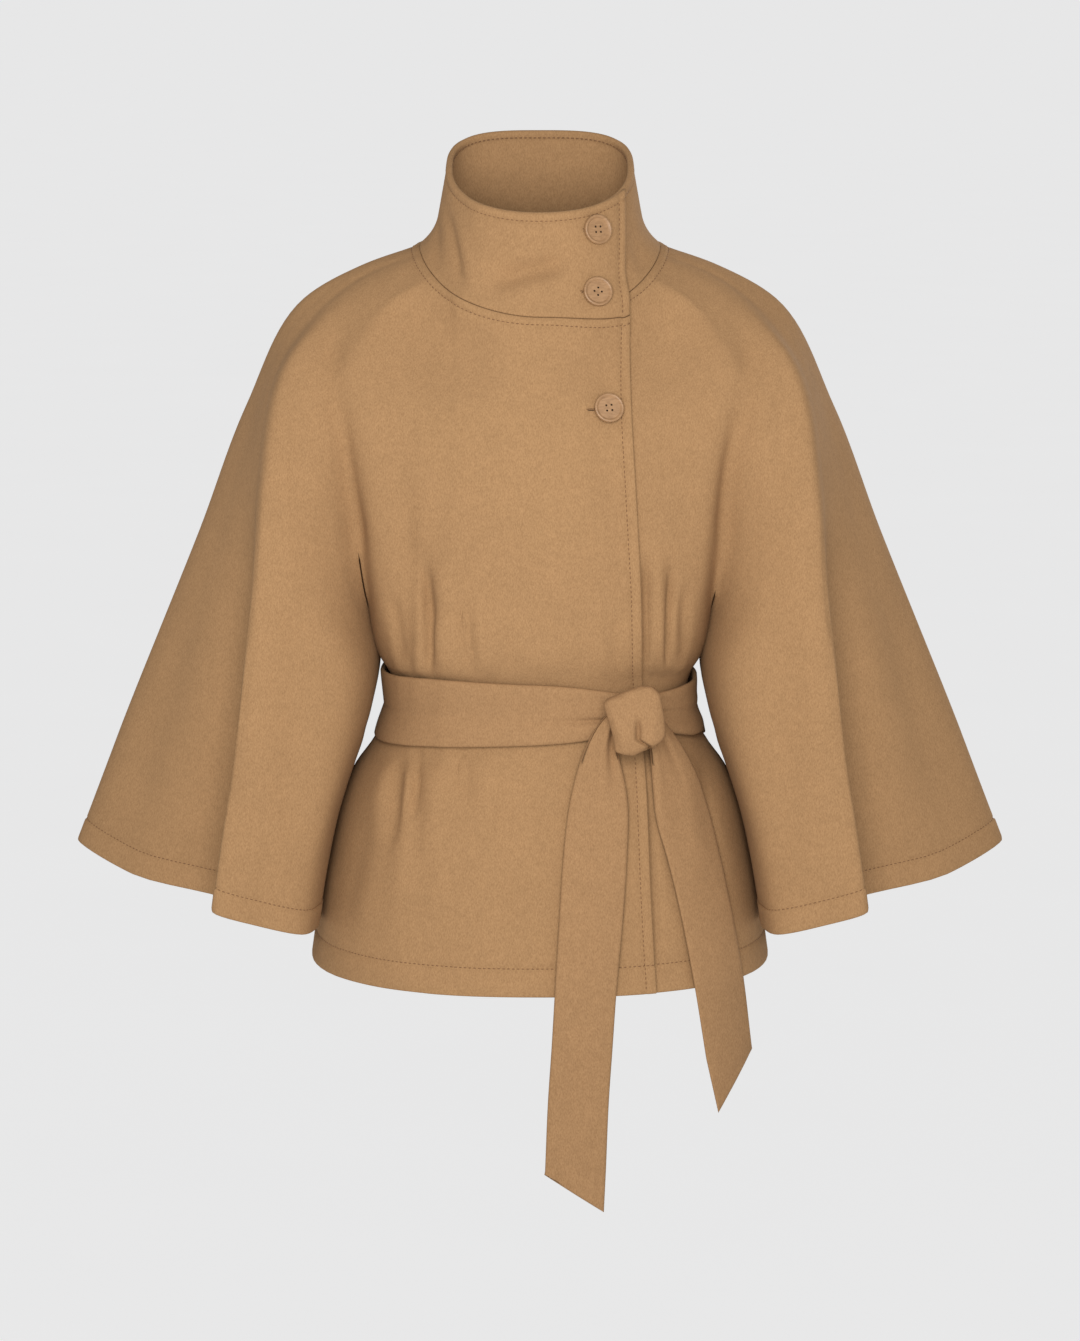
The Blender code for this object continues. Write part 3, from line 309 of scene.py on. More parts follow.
CREASES = creases([
    # above the belt: right front, then left front with its sharp pleats
    (-118, -170, -110, -362, 9, 3.0), (-101, -262, -95, -366, 4.2, 8.4),
    (-86, -250, -86, -362, 6, -2.2), (-66, -292, -60, -364, 5, 5.6),
    (-54, -300, -50, -364, 6, -1.6), (-128, -290, -124, -364, 5, 4.2),
    (-22, -318, -30, -366, 7, 3.4), (30, -300, 40, -366, 9, 2.8), (62, -300, 66, -366, 7, 3.1),
    (92.5, -250, 92.5, -372, 3.4, 7.7), (114, -262, 113.5, -368, 3.4, 9.1),
    (104, -240, 105, -366, 5, -3.0), (129, -285, 126, -364, 5, 3.9),
    # below the belt, front
    (-122, -434, -134, -520, 7, 5.6), (-108, -434, -112, -492, 4.5, 7.7),
    (-95, -440, -99, -540, 8, -2.4), (-67, -428, -64, -476, 9, 4.5),
    (-52, -438, -52, -510, 8, -1.8), (-24, -436, -28, -520, 9, 3.9),
    (4, -440, 10, -560, 11, 2.5), (92.5, -434, 100, -640, 4.0, 6.3),
    (118, -434, 128, -540, 5, 5.0), (140, -436, 162, -560, 7, 4.8),
    (-150, -470, -176, -610, 12, 3.6), (-62, -520, -86, -640, 15, 2.5),
    # the sleeves' fronts
    (-232, -150, -272, -560, 15, 3.4), (232, -170, 274, -560, 15, 3.2),
    (-205, -240, -214, -580, 16, 2.4), (206, -220, 216, -580, 16, 2.4),
    (-320, -270, -362, -530, 24, 4.0), (318, -250, 356, -530, 24, 3.8),
    (-290, -330, -314, -540, 15, -2.4), (292, -300, 316, -540, 15, -2.4),
    (-188, -62, -172, -160, 8.5, 6.0), (187, -66, 171, -166, 9, 5.4),
    (-173, -130, -160, -268, 7, 7.0), (172, -138, 160, -262, 7, 6.4),
    (-205, -70, -192, -240, 11, -2.6), (204, -76, 192, -236, 11, -2.6),
    (-104, -235, -97, -330, 13, 4.5), (60, -60, 66, -300, 14, 2.4),
], [
    (-116, -240, -104, -362, 7, 4.6), (-70, -265, -66, -366, 6, 5.0),
    (-22, -300, -26, -364, 7, 3.0), (34, -278, 30, -366, 6, 4.6), (84, -256, 78, -366, 6, 5.0),
    (122, -270, 116, -362, 7, 2.8), (-120, -440, -140, -540, 8, 3.4),
    (-62, -436, -70, -540, 7, 4.8), (4, -440, 0, -520, 8, 2.8), (60, -436, 70, -545, 7, 4.6),
    (122, -440, 142, -530, 9, 3.2), (-232, -160, -272, -560, 16, 3.2),
    (232, -180, 270, -560, 16, 3.0), (-322, -270, -356, -520, 22, 3.4),
    (320, -250, 350, -520, 22, 3.6), (0, -60, -4, -230, 26, 1.8),
])
EDGE_X = 86.0                  # creases that start past it are on the left front only
print("creases put on by hand:", len(CREASES))


# %% [markdown]
# A cubic curve that passes through every named point, with its speed set by the distances
# between them, gives soft sections with no overshoot. The same curve runs down the rings.

# %% Curves through named points
def smooth(x):
    x = np.clip(x, 0.0, 1.0)
    return x * x * (3 - 2 * x)


def hump(x, at, wide):
    """A soft rise to 1 at one place, that falls off within a width on both sides of it."""
    return np.exp(-((x - at) / wide) ** 2)


def unit(vectors):
    return vectors / np.maximum(np.linalg.norm(vectors, axis=-1, keepdims=True), 1e-12)


def run_along(line):
    """How far along a line each of its points lies, from the first one."""
    return np.concatenate([[0], np.cumsum(np.linalg.norm(np.diff(line, axis=0), axis=1))])


def through(points, at, before=None, after=None):
    """Smooth curve through points; at counts along them, so 2.5 is halfway from 2 to 3.

    points is (n, ..., 3), and the curve's speed follows the chords between them."""
    points = np.asarray(points, float)
    n = len(points)
    first = points[0] * 2 - points[1] if before is None else np.asarray(before, float)
    last = points[-1] * 2 - points[-2] if after is None else np.asarray(after, float)
    full = np.concatenate([first[None], points, last[None]])
    chord = np.maximum(np.linalg.norm(np.diff(full, axis=0), axis=-1, keepdims=True), 1e-6)
    rate = np.diff(full, axis=0) / chord
    slope = (rate[:-1] * chord[1:] + rate[1:] * chord[:-1]) / (chord[1:] + chord[:-1])
    at = np.asarray(at, float)
    k = np.clip(np.floor(at).astype(int), 0, n - 2)
    here, there = k, k + 1
    if points.ndim == 3:                    # one curve for each column of points
        column = np.arange(points.shape[1])
        here, there = (k, column), (k + 1, column)
    t, h = (at - k)[..., None], chord[1:][here]
    return ((2 * t**3 - 3 * t**2 + 1) * points[here] + (t**3 - 2 * t**2 + t) * h * slope[here]
            + (3 * t**2 - 2 * t**3) * points[there] + (t**3 - t**2) * h * slope[there])


def oval_y(x, half, depth, power):
    """How far an oval's wall stands from its long axis at x."""
    return depth * (1 - np.clip(np.abs(x) / half, 0, 1) ** power) ** (1 / power)


quarter = oval_y(NECK_HALF / 2, NECK_HALF, NECK_FRONT, NECK_POWER)
print("neck oval, mm deep halfway out:", round(float(quarter), 1), "of", NECK_FRONT)

# %% [markdown]
# ## Sections of the neck, the body and the sleeve
# A half section has named lines: 0 centre front, 1 edge, 4 side, 8 ridge, 9 fold, 11 overarm,
# then the back's fold, ridge and side (18), and 22 centre back.

# %% Points of each section
LINE_SIDE, LINE_OVER, LINE_BACK_SIDE = 4, 11, 18
NECK_X = [0, 76, 84, 89, 93, 96.5, 99.5, 102, 104, 105.5, 106.5, 107]
NECK_BACK_X = [106.5, 105.5, 104, 102, 99.5, 96.5, 93, 86, 66, 36, 0]


def neck_point(x, face):
    depth = NECK_FRONT if face < 0 else NECK_BACK
    y = face * oval_y(x, NECK_HALF, depth, NECK_POWER)
    share = np.abs(y) / depth
    z = -NECK_FRONT_DROP * share**1.6 if face < 0 else NECK_BACK_RISE * share**1.5
    return np.stack([x + 0 * y, y, z], axis=-1)


def seam_normal(points):
    """The way the cloth is cut through at the neck seam, shared by collar and panels."""
    x, y = points[..., 0], points[..., 1]
    depth = np.where(y < 0, NECK_FRONT, NECK_BACK)
    plan = np.stack([np.sign(x) * np.abs(x / NECK_HALF) ** (NECK_POWER - 1) / NECK_HALF,
                     np.sign(y) * np.abs(y / depth) ** (NECK_POWER - 1) / depth, 0 * x], -1)
    rise = 0.22 + 0.45 * (x / NECK_HALF) ** 2
    return unit(unit(plan) * np.sqrt(1 - rise**2)[..., None]
                + np.stack([0 * x, 0 * x, rise], -1))


def neck_section():
    front = neck_point(np.array(NECK_X, float), -1)
    back = neck_point(np.array(NECK_BACK_X, float), +1)
    return np.concatenate([front, back])


def body_point(row, x, face):
    """A point of a body section: an open S-curve above, an oval once it has closed."""
    t = x / row.side_x
    centre, centre_z, valley = ((row.front_y, row.front_z, row.front_valley) if face < 0
                                else (row.back_y, row.back_z, row.back_valley))
    arch = (1 - t**BODY_POWER) ** (1 / BODY_POWER)
    wave = 0.5 + 0.5 * math.cos(math.pi * t)
    y = valley + (centre - valley) * (row.round * arch + (1 - row.round) * wave)
    return (x, y, centre_z + (row.side_z - centre_z) * t * t)


def sleeve_points(row, side_y, back_side_y):
    """The sleeve's named lines, 4 to 18, of one section."""
    def level(share):                       # height from the underarm out to the ridge
        return row.seam_z + (row.ridge_z - row.seam_z) * share

    def out(share):                         # height from the ridge out to the overarm
        return row.ridge_z + (row.over_z - row.ridge_z) * share

    bulge = max(0.07 * (row.over_x - row.fold_x), 4)
    mid = 0.55
    return [
        (row.seam_x, side_y, row.seam_z),
        (row.tuck_x, row.tuck_y, level(-0.04)),
        (row.inner_x, row.inner_y, level(0.06)),
        (0.5 * (row.inner_x + row.ridge_x), 0.35 * row.inner_y + 0.65 * row.ridge_y - 3,
         level(0.5)),
        (row.ridge_x, row.ridge_y, row.ridge_z),
        (row.fold_x, row.fold_y, out(0.02)),
        (row.fold_x + mid * (row.over_x - row.fold_x) + bulge,
         row.fold_y + mid * (row.over_y - row.fold_y) - bulge, out(0.44)),
        (row.over_x, row.over_y, row.over_z),
        (row.back_fold_x + 0.55 * (row.over_x - row.back_fold_x) + bulge,
         row.back_fold_y + 0.5 * (row.over_y - row.back_fold_y) + bulge, out(0.44)),
        (row.back_fold_x, row.back_fold_y, out(0.08)),
        (row.back_ridge_x, row.back_ridge_y, row.ridge_z),
        (0.5 * (row.inner_x + row.back_ridge_x),
         0.35 * row.back_inner_y + 0.65 * row.back_ridge_y + 2, level(0.5)),
        (row.inner_x, row.back_inner_y, level(0.06)),
        (row.tuck_x, row.back_tuck_y, level(-0.04)),
        (row.seam_x, back_side_y, row.seam_z),
    ]


def body_lines(row):
    front = [body_point(row, x, -1) for x in
             (0, row.edge_x, 0.55 * row.edge_x + 0.45 * row.side_x,
              0.2 * row.edge_x + 0.8 * row.side_x, row.side_x)]
    back = [body_point(row, share * row.side_x, +1) for share in (1, 0.94, 0.76, 0.42, 0)]
    return front, back


def mirrored(point):
    return np.array([-point[0], point[1], point[2]])


print("neck seam, mm all round:", round(2 * run_along(neck_section())[-1]))

# %% [markdown]
# ## Rows that follow the edges
# Hems, the front edge and the seams are topstitched at a set distance, and the doubled cloth
# between stitching and edge stands a little proud. So the grid's first and last rows are
# laid at exact distances from the edge, measured along the cloth, and the rest share what
# is left.

# %% Columns, rings and rows
DENSE, RING_DENSE = 81, 33     # points of the fine curves that distances are measured on
SHARED_ROWS = 7                # rows that share what is left below the neck or above the hem


def form_columns():
    """Places round the half section, one list for each stretch, body front, sleeve, back."""
    out = [0.0]
    for line, steps in enumerate(STEPS):
        for k in range(1, steps * FINE + 1):
            out.append(line + k / (steps * FINE))
    out = np.array(out)
    eps = 1e-9
    return (out[out <= LINE_SIDE + eps],
            out[(out >= LINE_SIDE - eps) & (out <= LINE_BACK_SIDE + eps)],
            out[out >= LINE_BACK_SIDE - eps])


def edge_columns(section, front_u):
    """The front's columns for one ring: the last ones before the edge lie at set distances."""
    dense = np.linspace(0, 1, DENSE)
    line = through(section[:3], dense, before=mirrored(section[1]))
    run = run_along(line)
    inside = int(np.sum(front_u < 1 + 1e-9))
    set_back = run[-1] - np.array(EDGE_COLUMNS[::-1])
    free = inside - len(EDGE_COLUMNS)
    share = np.linspace(0, 1, free + 1)[:-1]
    wanted = np.concatenate([share * set_back[0], set_back])
    own = np.interp(wanted, run, dense)
    own[-1] = 1.0
    return np.concatenate([own, front_u[inside:]])


def ring_sections(front_u, sleeve_u, back_u):
    """Every ring's points at the wanted places, as three arrays (ring, column, 3)."""
    front, sleeve, back = [], [], []
    neck = neck_section()
    ends = dict(before=mirrored(neck[1]), after=mirrored(neck[-2]))
    front.append(through(neck, edge_columns(neck, front_u), **ends))
    sleeve.append(through(neck, sleeve_u, **ends))
    back.append(through(neck, back_u, **ends))
    for ring, (b, s) in enumerate(zip(BODY, SLEEVE), start=1):
        fore, aft = body_lines(b)
        arm = sleeve_points(s, fore[-1][1], aft[0][1])
        is_open = ring < CLOSED_FROM
        line = np.array(fore + arm[1:-1] + aft) if is_open else np.array(fore + aft[1:])
        ends = dict(before=mirrored(line[1]), after=mirrored(line[-2]))
        front.append(through(line, edge_columns(line, front_u), **ends))
        if is_open:
            sleeve.append(through(line, sleeve_u, **ends))
            back.append(through(line, back_u, **ends))
        else:
            back.append(through(line, back_u - LINE_BACK_SIDE + LINE_SIDE, **ends))
            arm = np.array(arm)
            sleeve.append(through(arm, sleeve_u - LINE_SIDE, before=arm[-2], after=arm[1]))
    return np.array(front), np.array(sleeve), np.array(back)


def laid_rows(curve, v, distances, count, from_end):
    """Row numbers for one column: some at set distances from one end, the rest shared."""
    run = run_along(curve)
    near = np.array(distances)
    if from_end:
        near = run[-1] - near[::-1]
        wanted = np.concatenate([np.linspace(0, near[0], count + 1)[:-1], near])
    else:
        wanted = np.concatenate([near, np.linspace(near[-1], run[-1], count + 1)[1:]])
    return np.interp(wanted, run, v)


print("columns of the front, sleeve and back:", [len(u) for u in form_columns()])

# %% [markdown]
# ## Gathers, the shoulder and the creases
# Three things shape the plain sections further. The belt draws the cloth into gathers, which
# rise off the surface above and below it. Over the shoulder the cloth lies smooth, so the
# start of the sleeve is evened out there. The creases of the table come last.

# %% What lifts the cloth
SHOULDER_PASSES, SHOULDER_CROWN = 120, 4.4     # how often, and how many lines in it stops


def gather_lift(place, v):
    """How far the gathers lift the cloth at a place round the body and a ring v."""
    lift = np.zeros(np.broadcast(place, v).shape)
    for g in GATHERS:
        off = np.abs(place - g.at) % GIRTH
        across = hump(np.minimum(off, GIRTH - off), 0, g.width)
        above = (smooth((v - CLOSED_FROM - 0.2 + g.above) / g.above)
                 * (1 - smooth((v - CLOSED_FROM - 0.2) / 0.7)))
        below = smooth((v - BELT_LOW - 0.05) / 0.7) * (1 - smooth((v - 7.9) / g.below))
        lift = lift + g.rise * across * (above + below)
    return lift


def softened_shoulder(points, v, u):
    """The sleeve's top evened out across the shoulder, where the ridge has not begun."""
    even = points.copy()
    for _ in range(SHOULDER_PASSES):
        even[:, 1:-1] = 0.5 * even[:, 1:-1] + 0.25 * (even[:, :-2] + even[:, 2:])
    from_side = np.minimum(u - LINE_SIDE, LINE_BACK_SIDE - u)
    across = smooth(from_side / 1.2) * (1 - smooth((from_side - SHOULDER_CROWN) / 1.6))
    share = smooth(v / 0.5) * (1 - smooth((v - 1.15) / 0.85)) * across[None]
    return points + (even - points) * share[..., None]


def creased(points, normals, folds):
    """The listed troughs and ridges at each point, as a lift along the normal."""
    lift = np.zeros(points.shape[:2])
    x, z = points[..., 0], points[..., 2]
    for c in folds:
        ax, az = c.x1 - c.x0, c.z1 - c.z0
        along = ((x - c.x0) * ax + (z - c.z0) * az) / (ax * ax + az * az)
        off = ((x - c.x0) * az - (z - c.z0) * ax) / math.hypot(ax, az)
        off = off + 0.25 * c.wide * np.sin(along * 5.0 + c.x0)
        fade = smooth(along / 0.35) * smooth((1.06 - along) / 0.3)
        facing = smooth((normals[..., 1] * c.face - 0.05) / 0.3)
        lift -= c.deep * hump(off, 0, c.wide) * fade * facing
    return lift


print("belt gathers:", len(GATHERS), "highest, mm:", max(g.rise for g in GATHERS))

# %% [markdown]
# ## Which way the cloth faces
# Thickness, folds and stitches all stand square to the cloth, so each point needs a normal,
# and panels that meet need the same one at their seam. Points that meet get one number.

# %% Shared numbers and normals
def shared_numbers(grids):
    """A number for each point of several grids, the same where points meet; and how many."""
    numbers, out = {}, []
    for grid in grids:
        own = [numbers.setdefault(tuple(point), len(numbers))
               for point in np.round(grid, 3).reshape(-1, 3).tolist()]
        out.append(np.array(own).reshape(grid.shape[:2]))
    return out, len(numbers)


def cell_vectors(grid):
    """A vector square to each cell of a grid, as long as twice the cell's area."""
    return np.cross(grid[1:, 1:] - grid[:-1, :-1], grid[1:, :-1] - grid[:-1, 1:])


def vertex_normals(grids):
    """Outward normals of several grids whose touching edges are shared."""
    sign = -1.0 if sum(g[..., 0].mean() for g in grids) > 0 else 1.0
    ids, count = shared_numbers(grids)
    total = np.zeros((count, 3))
    for g, own in zip(grids, ids):
        for block in (own[:-1, :-1], own[1:, :-1], own[:-1, 1:], own[1:, 1:]):
            np.add.at(total, block, cell_vectors(g) * sign)
    out = []
    for g, own in zip(grids, ids):
        n = total[own]
        n[..., 0] = np.where(np.abs(g[..., 0]) < 1e-6, 0.0, n[..., 0])
        out.append(unit(n))
    return out


def cut_area(*grids):
    """The area of cloth in some grids, in square metres."""
    return sum(np.linalg.norm(cell_vectors(g), axis=-1).sum() / 2 for g in grids) * MM * MM


flat = np.array([[(x, 0, z) for x in (0, 1000)] for z in (0, 1000)], float)
print("a metre square of cloth, m2:", cut_area(flat))

# %% [markdown]
# ## The form
# Each half of the garment is one grid, and so is the upper layer past the centre, which
# starts lower at the neck. All the panels are cut from these three.

# %% The form
SIDE_FILL, SIDE_FILL_Z = 4.2, -422.0       # how far the sides swell, and from what height down


class Form:
    """One half of the garment's outer surface: 0 the body's front, 1 sleeve, 2 body's back.

    points and normals are grids (row, column); relief says how far the cloth stands out."""

    def __init__(self, half, drop=0.0):
        self.half = half
        self.u = form_columns()
        self.rings = ring_sections(*self.u)
        middle = np.concatenate([ring + np.arange(1, n * FINE_ROWS + 1) / (n * FINE_ROWS)
                                 for ring, n in enumerate(RING_STEPS) if 0 < ring < RINGS - 1])
        top = np.linspace(0, 1, RING_DENSE)
        low = np.linspace(RINGS - 1, RINGS, RING_DENSE)
        self.points, self.v = [], []
        for part, u in enumerate(self.u):
            start = drop * smooth(u) if drop else 0.0 * u
            above = start + top[:, None] * (1 - start)
            below = np.repeat(low[:, None], len(u), axis=1)
            grid_top, grid_low = self.sample(part, above), self.sample(part, below)
            hem = SLEEVE_HEM_ROWS if part == 1 else BODY_HEM_ROWS
            rows = [np.concatenate([laid_rows(grid_top[:, j], above[:, j], NECK_ROWS,
                                              SHARED_ROWS, False),
                                    middle,
                                    laid_rows(grid_low[:, j], below[:, j], hem,
                                              SHARED_ROWS, True)[1:]])
                    for j in range(len(u))]
            self.v.append(np.array(rows).T)
            self.points.append(self.sample(part, self.v[-1]))
        self.points[1] = softened_shoulder(self.points[1], self.v[1], self.u[1])
        for part in range(3):
            self.points[part][..., 0] += self.filled_side(part)
        self.normals = vertex_normals(self.points)
        for part, (grid, normals) in enumerate(zip(self.points, self.normals)):
            own = smooth(self.u[0])[:, None] if drop and part == 0 else 0.0
            normals[0] = unit(own * normals[0] + (1 - own) * seam_normal(grid[0]))
        folds = [c for c in CREASES if c.x0 < EDGE_X or not drop]
        self.relief = [self.puffed(part) + creased(self.points[part], self.normals[part], folds)
                       for part in range(3)]

    def filled_side(self, part):
        """Below the belt the body and the sleeve swell towards each other, straight along X,

        so that the two sides of each side seam move as one and it stays closed."""
        towards = -self.half if part == 1 else self.half
        u = self.u[part]
        off = {0: LINE_SIDE - u, 1: np.minimum(u - LINE_SIDE, LINE_BACK_SIDE - u),
               2: u - LINE_BACK_SIDE}[part]
        low = smooth((SIDE_FILL_Z - self.points[part][..., 2]) / 22)
        return towards * SIDE_FILL * hump(off, 0, 0.8)[None] * low

    def puffed(self, part):
        """The doubled bands along the neck and the hem, and the groove of their stitches."""
        rows, columns = self.points[part].shape[:2]
        out = np.zeros((rows, columns))
        wave = 1 + 0.3 * np.sin(self.u[part] * 23.0) * np.sin(self.u[part] * 9.1 + self.half)
        out[-HEM_STITCH:-1] += PUFF * wave
        out[-1] += 0.5 * PUFF
        out[-1 - HEM_STITCH] -= GROOVE * wave
        out[NECK_STITCH] -= 0.7 * GROOVE * wave
        out[1:NECK_STITCH] += 0.6 * PUFF * wave
        return out

    def sample(self, part, v):
        """The outer surface of a part at the ring numbers v, an array (row, column)."""
        u, ring = self.u[part], self.rings[part]
        grid = np.array([through(ring, row) for row in v])
        meet = 0.5 * (self.rings[0][6][-1] + self.rings[1][6][0])
        for column in ([-1], [0, -1], [0])[part]:     # the valley ends at the underarm
            upper = through(ring[:CLOSED_FROM + 1, column],
                            np.clip(v[:, column], 0, CLOSED_FROM), after=meet)
            lower = through(ring[CLOSED_FROM:, column],
                            np.clip(v[:, column] - CLOSED_FROM, 0, RINGS - CLOSED_FROM))
            is_open = (v[:, column] <= CLOSED_FROM)[:, None]
            grid[:, column] = np.where(is_open, upper, lower)
        if part != 1:
            place = u if part == 0 else u - LINE_BACK_SIDE + LINE_SIDE
            out = grid[..., :2] / np.maximum(
                np.linalg.norm(grid[..., :2], axis=-1, keepdims=True), 1)
            grid[..., :2] += out * gather_lift(self.half * place[None], v)[..., None]
        grid[..., 0] *= self.half
        return grid

    def part(self, index):
        return self.points[index], self.normals[index], self.relief[index]


right_form, left_form = Form(-1), Form(+1)
left_crossing = Form(+1, drop=UPPER_DROP)
print("grid of one half, rows and columns:", [p.shape[:2] for p in right_form.points])

# %% [markdown]
# ## Closed pieces with a rounded edge
# Melton doesn't fray, and a folded or bound edge of it is round. So a panel is a closed wall:
# its outer face, the same face moved in by the cloth's thickness, and a half-round lip along
# every free edge. Where two panels are sewn together their lips all but touch. The collar,
# the belt and its tails are sewn double and turned, so their two faces need not follow each
# other: a second builder takes both faces as grids and rolls the same lip between them.

# %% The half-round lip
LIP_TURNS = (45, 90, 135)


def half_round(middle, half, out, into):
    """Rows of points round a lip, from the outer face to the inner one."""
    return [middle + half * (math.cos(math.radians(turn)) * out
                             - math.sin(math.radians(turn)) * into) for turn in LIP_TURNS]


def sewn(name, verts, faces, finish):
    """A mesh object from points and faces, its faces turned outwards and shaded smooth."""
    data = bpy.data.meshes.new(name)
    data.from_pydata(verts.tolist(), [], faces)
    mesh = bmesh.new()
    mesh.from_mesh(data)
    bmesh.ops.recalc_face_normals(mesh, faces=mesh.faces)
    mesh.to_mesh(data)
    mesh.free()
    data.shade_smooth()
    data.materials.append(finish)
    made = bpy.data.objects.new(name, data)
    bpy.context.scene.collection.objects.link(made)
    print(name + ":", len(faces), "faces")
    return made


def joined(name, outer, inner, lip, faces, rim, neighbours, finish):
    """Two faces, numbered alike, joined along pairs of neighbours on their rim by a lip."""
    n, place = len(outer), {p: k for k, p in enumerate(rim)}

    def round_the_lip(p):
        return [p, *(2 * n + k * len(rim) + place[p] for k in range(len(lip))), p + n]

    all_faces = faces + [[i + n for i in reversed(f)] for f in faces]
    for p, q in neighbours:
        a, b = round_the_lip(p), round_the_lip(q)
        all_faces += [[a[k], b[k], b[k + 1], a[k + 1]] for k in range(len(a) - 1)]
    return sewn(name, np.concatenate([outer, inner, *lip]) * MM, all_faces, finish)


# %% [markdown]
# The wall's builder takes strips: grids of outer points, their normals, and how far the
# cloth is lifted off them. It finds the free edges as those with a cell on one side only,
# and turns the lip away from the cloth there.

# %% A wall of one thickness of cloth
def face_of(strip):
    """The outer face of a strip: its points, moved out along their normals by its lift."""
    points, normals, lift = strip
    return points + normals * np.broadcast_to(lift, points.shape[:2])[..., None]


def inward_at_rim(outer, normals, edges, rim):
    """Which way the cloth lies at each point of its rim, square to the rim."""
    on_rim = {p for pair in rim for p in pair}
    along, into, beside = np.zeros_like(outer), np.zeros_like(outer), {}
    for p, q in rim:
        along[p] += outer[q] - outer[p]
        along[q] += outer[q] - outer[p]
        beside.setdefault(p, []).append(q)
        beside.setdefault(q, []).append(p)
    for a, b in edges:
        for p, q in ((a, b), (b, a)):
            if p in on_rim and q not in on_rim:
                into[p] += outer[q] - outer[p]
    for p in on_rim:
        if np.linalg.norm(into[p]) < 1e-6:         # a corner looks in between its neighbours
            into[p] = sum(outer[q] - outer[p] for q in beside[p])
            along[p] = 0
        t = along[p] / max(np.linalg.norm(along[p]), 1e-9)
        d = into[p] - t * np.dot(into[p], t)
        d = d - normals[p] * np.dot(d, normals[p])
        into[p] = d / max(np.linalg.norm(d), 1e-9)
    return sorted(on_rim), into


def cloth_wall(name, strips):
    """One closed panel of melton from strips of (outer points, normals, lift)."""
    ids, _ = shared_numbers([points for points, _, _ in strips])
    first = np.unique(np.concatenate([own.ravel() for own in ids]), return_index=True)[1]
    outer = np.concatenate([face_of(strip).reshape(-1, 3) for strip in strips])[first]
    normals = np.concatenate([strip[1].reshape(-1, 3) for strip in strips])[first]
    faces = []
    for own in ids:
        corners = [own[:-1, :-1], own[1:, :-1], own[1:, 1:], own[:-1, 1:]]
        faces += np.stack(corners, -1).reshape(-1, 4).tolist()
    edges = {}
    for f in faces:
        for p, q in zip(f, f[1:] + f[:1]):
            edges.setdefault((min(p, q), max(p, q)), []).append((p, q))
    free = [pair[0] for pair in edges.values() if len(pair) == 1]
    rim, into = inward_at_rim(outer, normals, edges, free)
    half = CLOTH / 2
    outer[rim] += into[rim] * (half + TOUCH / 2)
    lip = half_round(outer[rim] - normals[rim] * half, half, normals[rim], into[rim])
    return joined(name, outer, outer - normals * CLOTH, lip, faces, rim,
                  [(q, p) for p, q in free], MELTON)


# %% [markdown]
# A doubled strip's rim is known beforehand: the outline of its grid, or, on the belt, which
# closes on itself, its two long edges.

# %% A doubled strip
def doubled_strip(name, outer, inner, finish, closed=False):
    """A closed piece between two grids (row, column) of the same size."""
    rows, cols = outer.shape[:2]
    number = np.arange(rows * cols).reshape(rows, cols)
    into = np.zeros_like(outer)
    into[0] += unit(outer[1] - outer[0])
    into[-1] += unit(outer[-2] - outer[-1])
    if closed:
        loops = [[*number[0], number[0, 0]], [*number[-1], number[-1, 0]][::-1]]
    else:
        into[:, 0] += unit(outer[:, 1] - outer[:, 0])
        into[:, -1] += unit(outer[:, -2] - outer[:, -1])
        loops = [[*number[0], *number[1:, -1], *number[-1, -2::-1], *number[-2::-1, 0]]]
    half = 0.5 * np.linalg.norm(outer - inner, axis=-1, keepdims=True)
    outer, inner, into, out, half = (
        grid.copy().reshape(rows * cols, -1)
        for grid in (outer, inner, unit(into), unit(outer - inner), half))
    neighbours = [(int(p), int(q)) for loop in loops for p, q in zip(loop, loop[1:])]
    rim = sorted({p for pair in neighbours for p in pair})
    middle = 0.5 * (outer[rim] + inner[rim]) + into[rim] * half[rim]
    lip = half_round(middle, half[rim], out[rim], into[rim])
    outer[rim] += into[rim] * half[rim]
    inner[rim] += into[rim] * half[rim]
    after = np.roll(number, -1, axis=1)
    cells = np.stack([number[:-1], number[1:], after[1:], after[:-1]], -1)
    cells = cells if closed else cells[:, :-1]
    return joined(name, outer, inner, lip, cells.reshape(-1, 4).tolist(), rim, neighbours,
                  finish)


# %% [markdown]
# ## The fronts and the back
# The right front is the upper layer: past the centre it runs on to the buttoned edge, one
# cloth's thickness and a little air above the left front, which runs on under it. The back
# is one piece with both sleeve backs. Front and back meet along the overarm and underarm.

# %% Which cloth lies over which
def overlap_share(neck_x):
    """1 where the upper layer covers the under one, 0 before the sleeve."""
    return 1 - smooth((neck_x - (UNDERLAP + 6)) / (93 - UNDERLAP - 6))


def layer_size(form):
    """The upper layer's lift: more at the thick collar's seam than on the chest."""
    return OVERLAP_FRONT + (OVERLAP_COLLAR - OVERLAP_FRONT) * (1 - smooth(form.v[0]))


def edge_relief(columns):
    """The doubled band along the front edge, with the groove of its stitches."""
    out = np.zeros(columns)
    out[-1 - EDGE_STITCH:] += PUFF
    out[-1 - EDGE_STITCH] -= PUFF + GROOVE
    return out


def columns_of(strip, columns):
    """The same columns of each grid of a strip."""
    return tuple(grid[:, columns] for grid in strip)


def neck_place(u):
    """How far out on the neck seam a column starts."""
    return np.interp(u, range(len(NECK_X)), NECK_X)


def strips_area(strips):
    return cut_area(*(points for points, _, _ in strips))


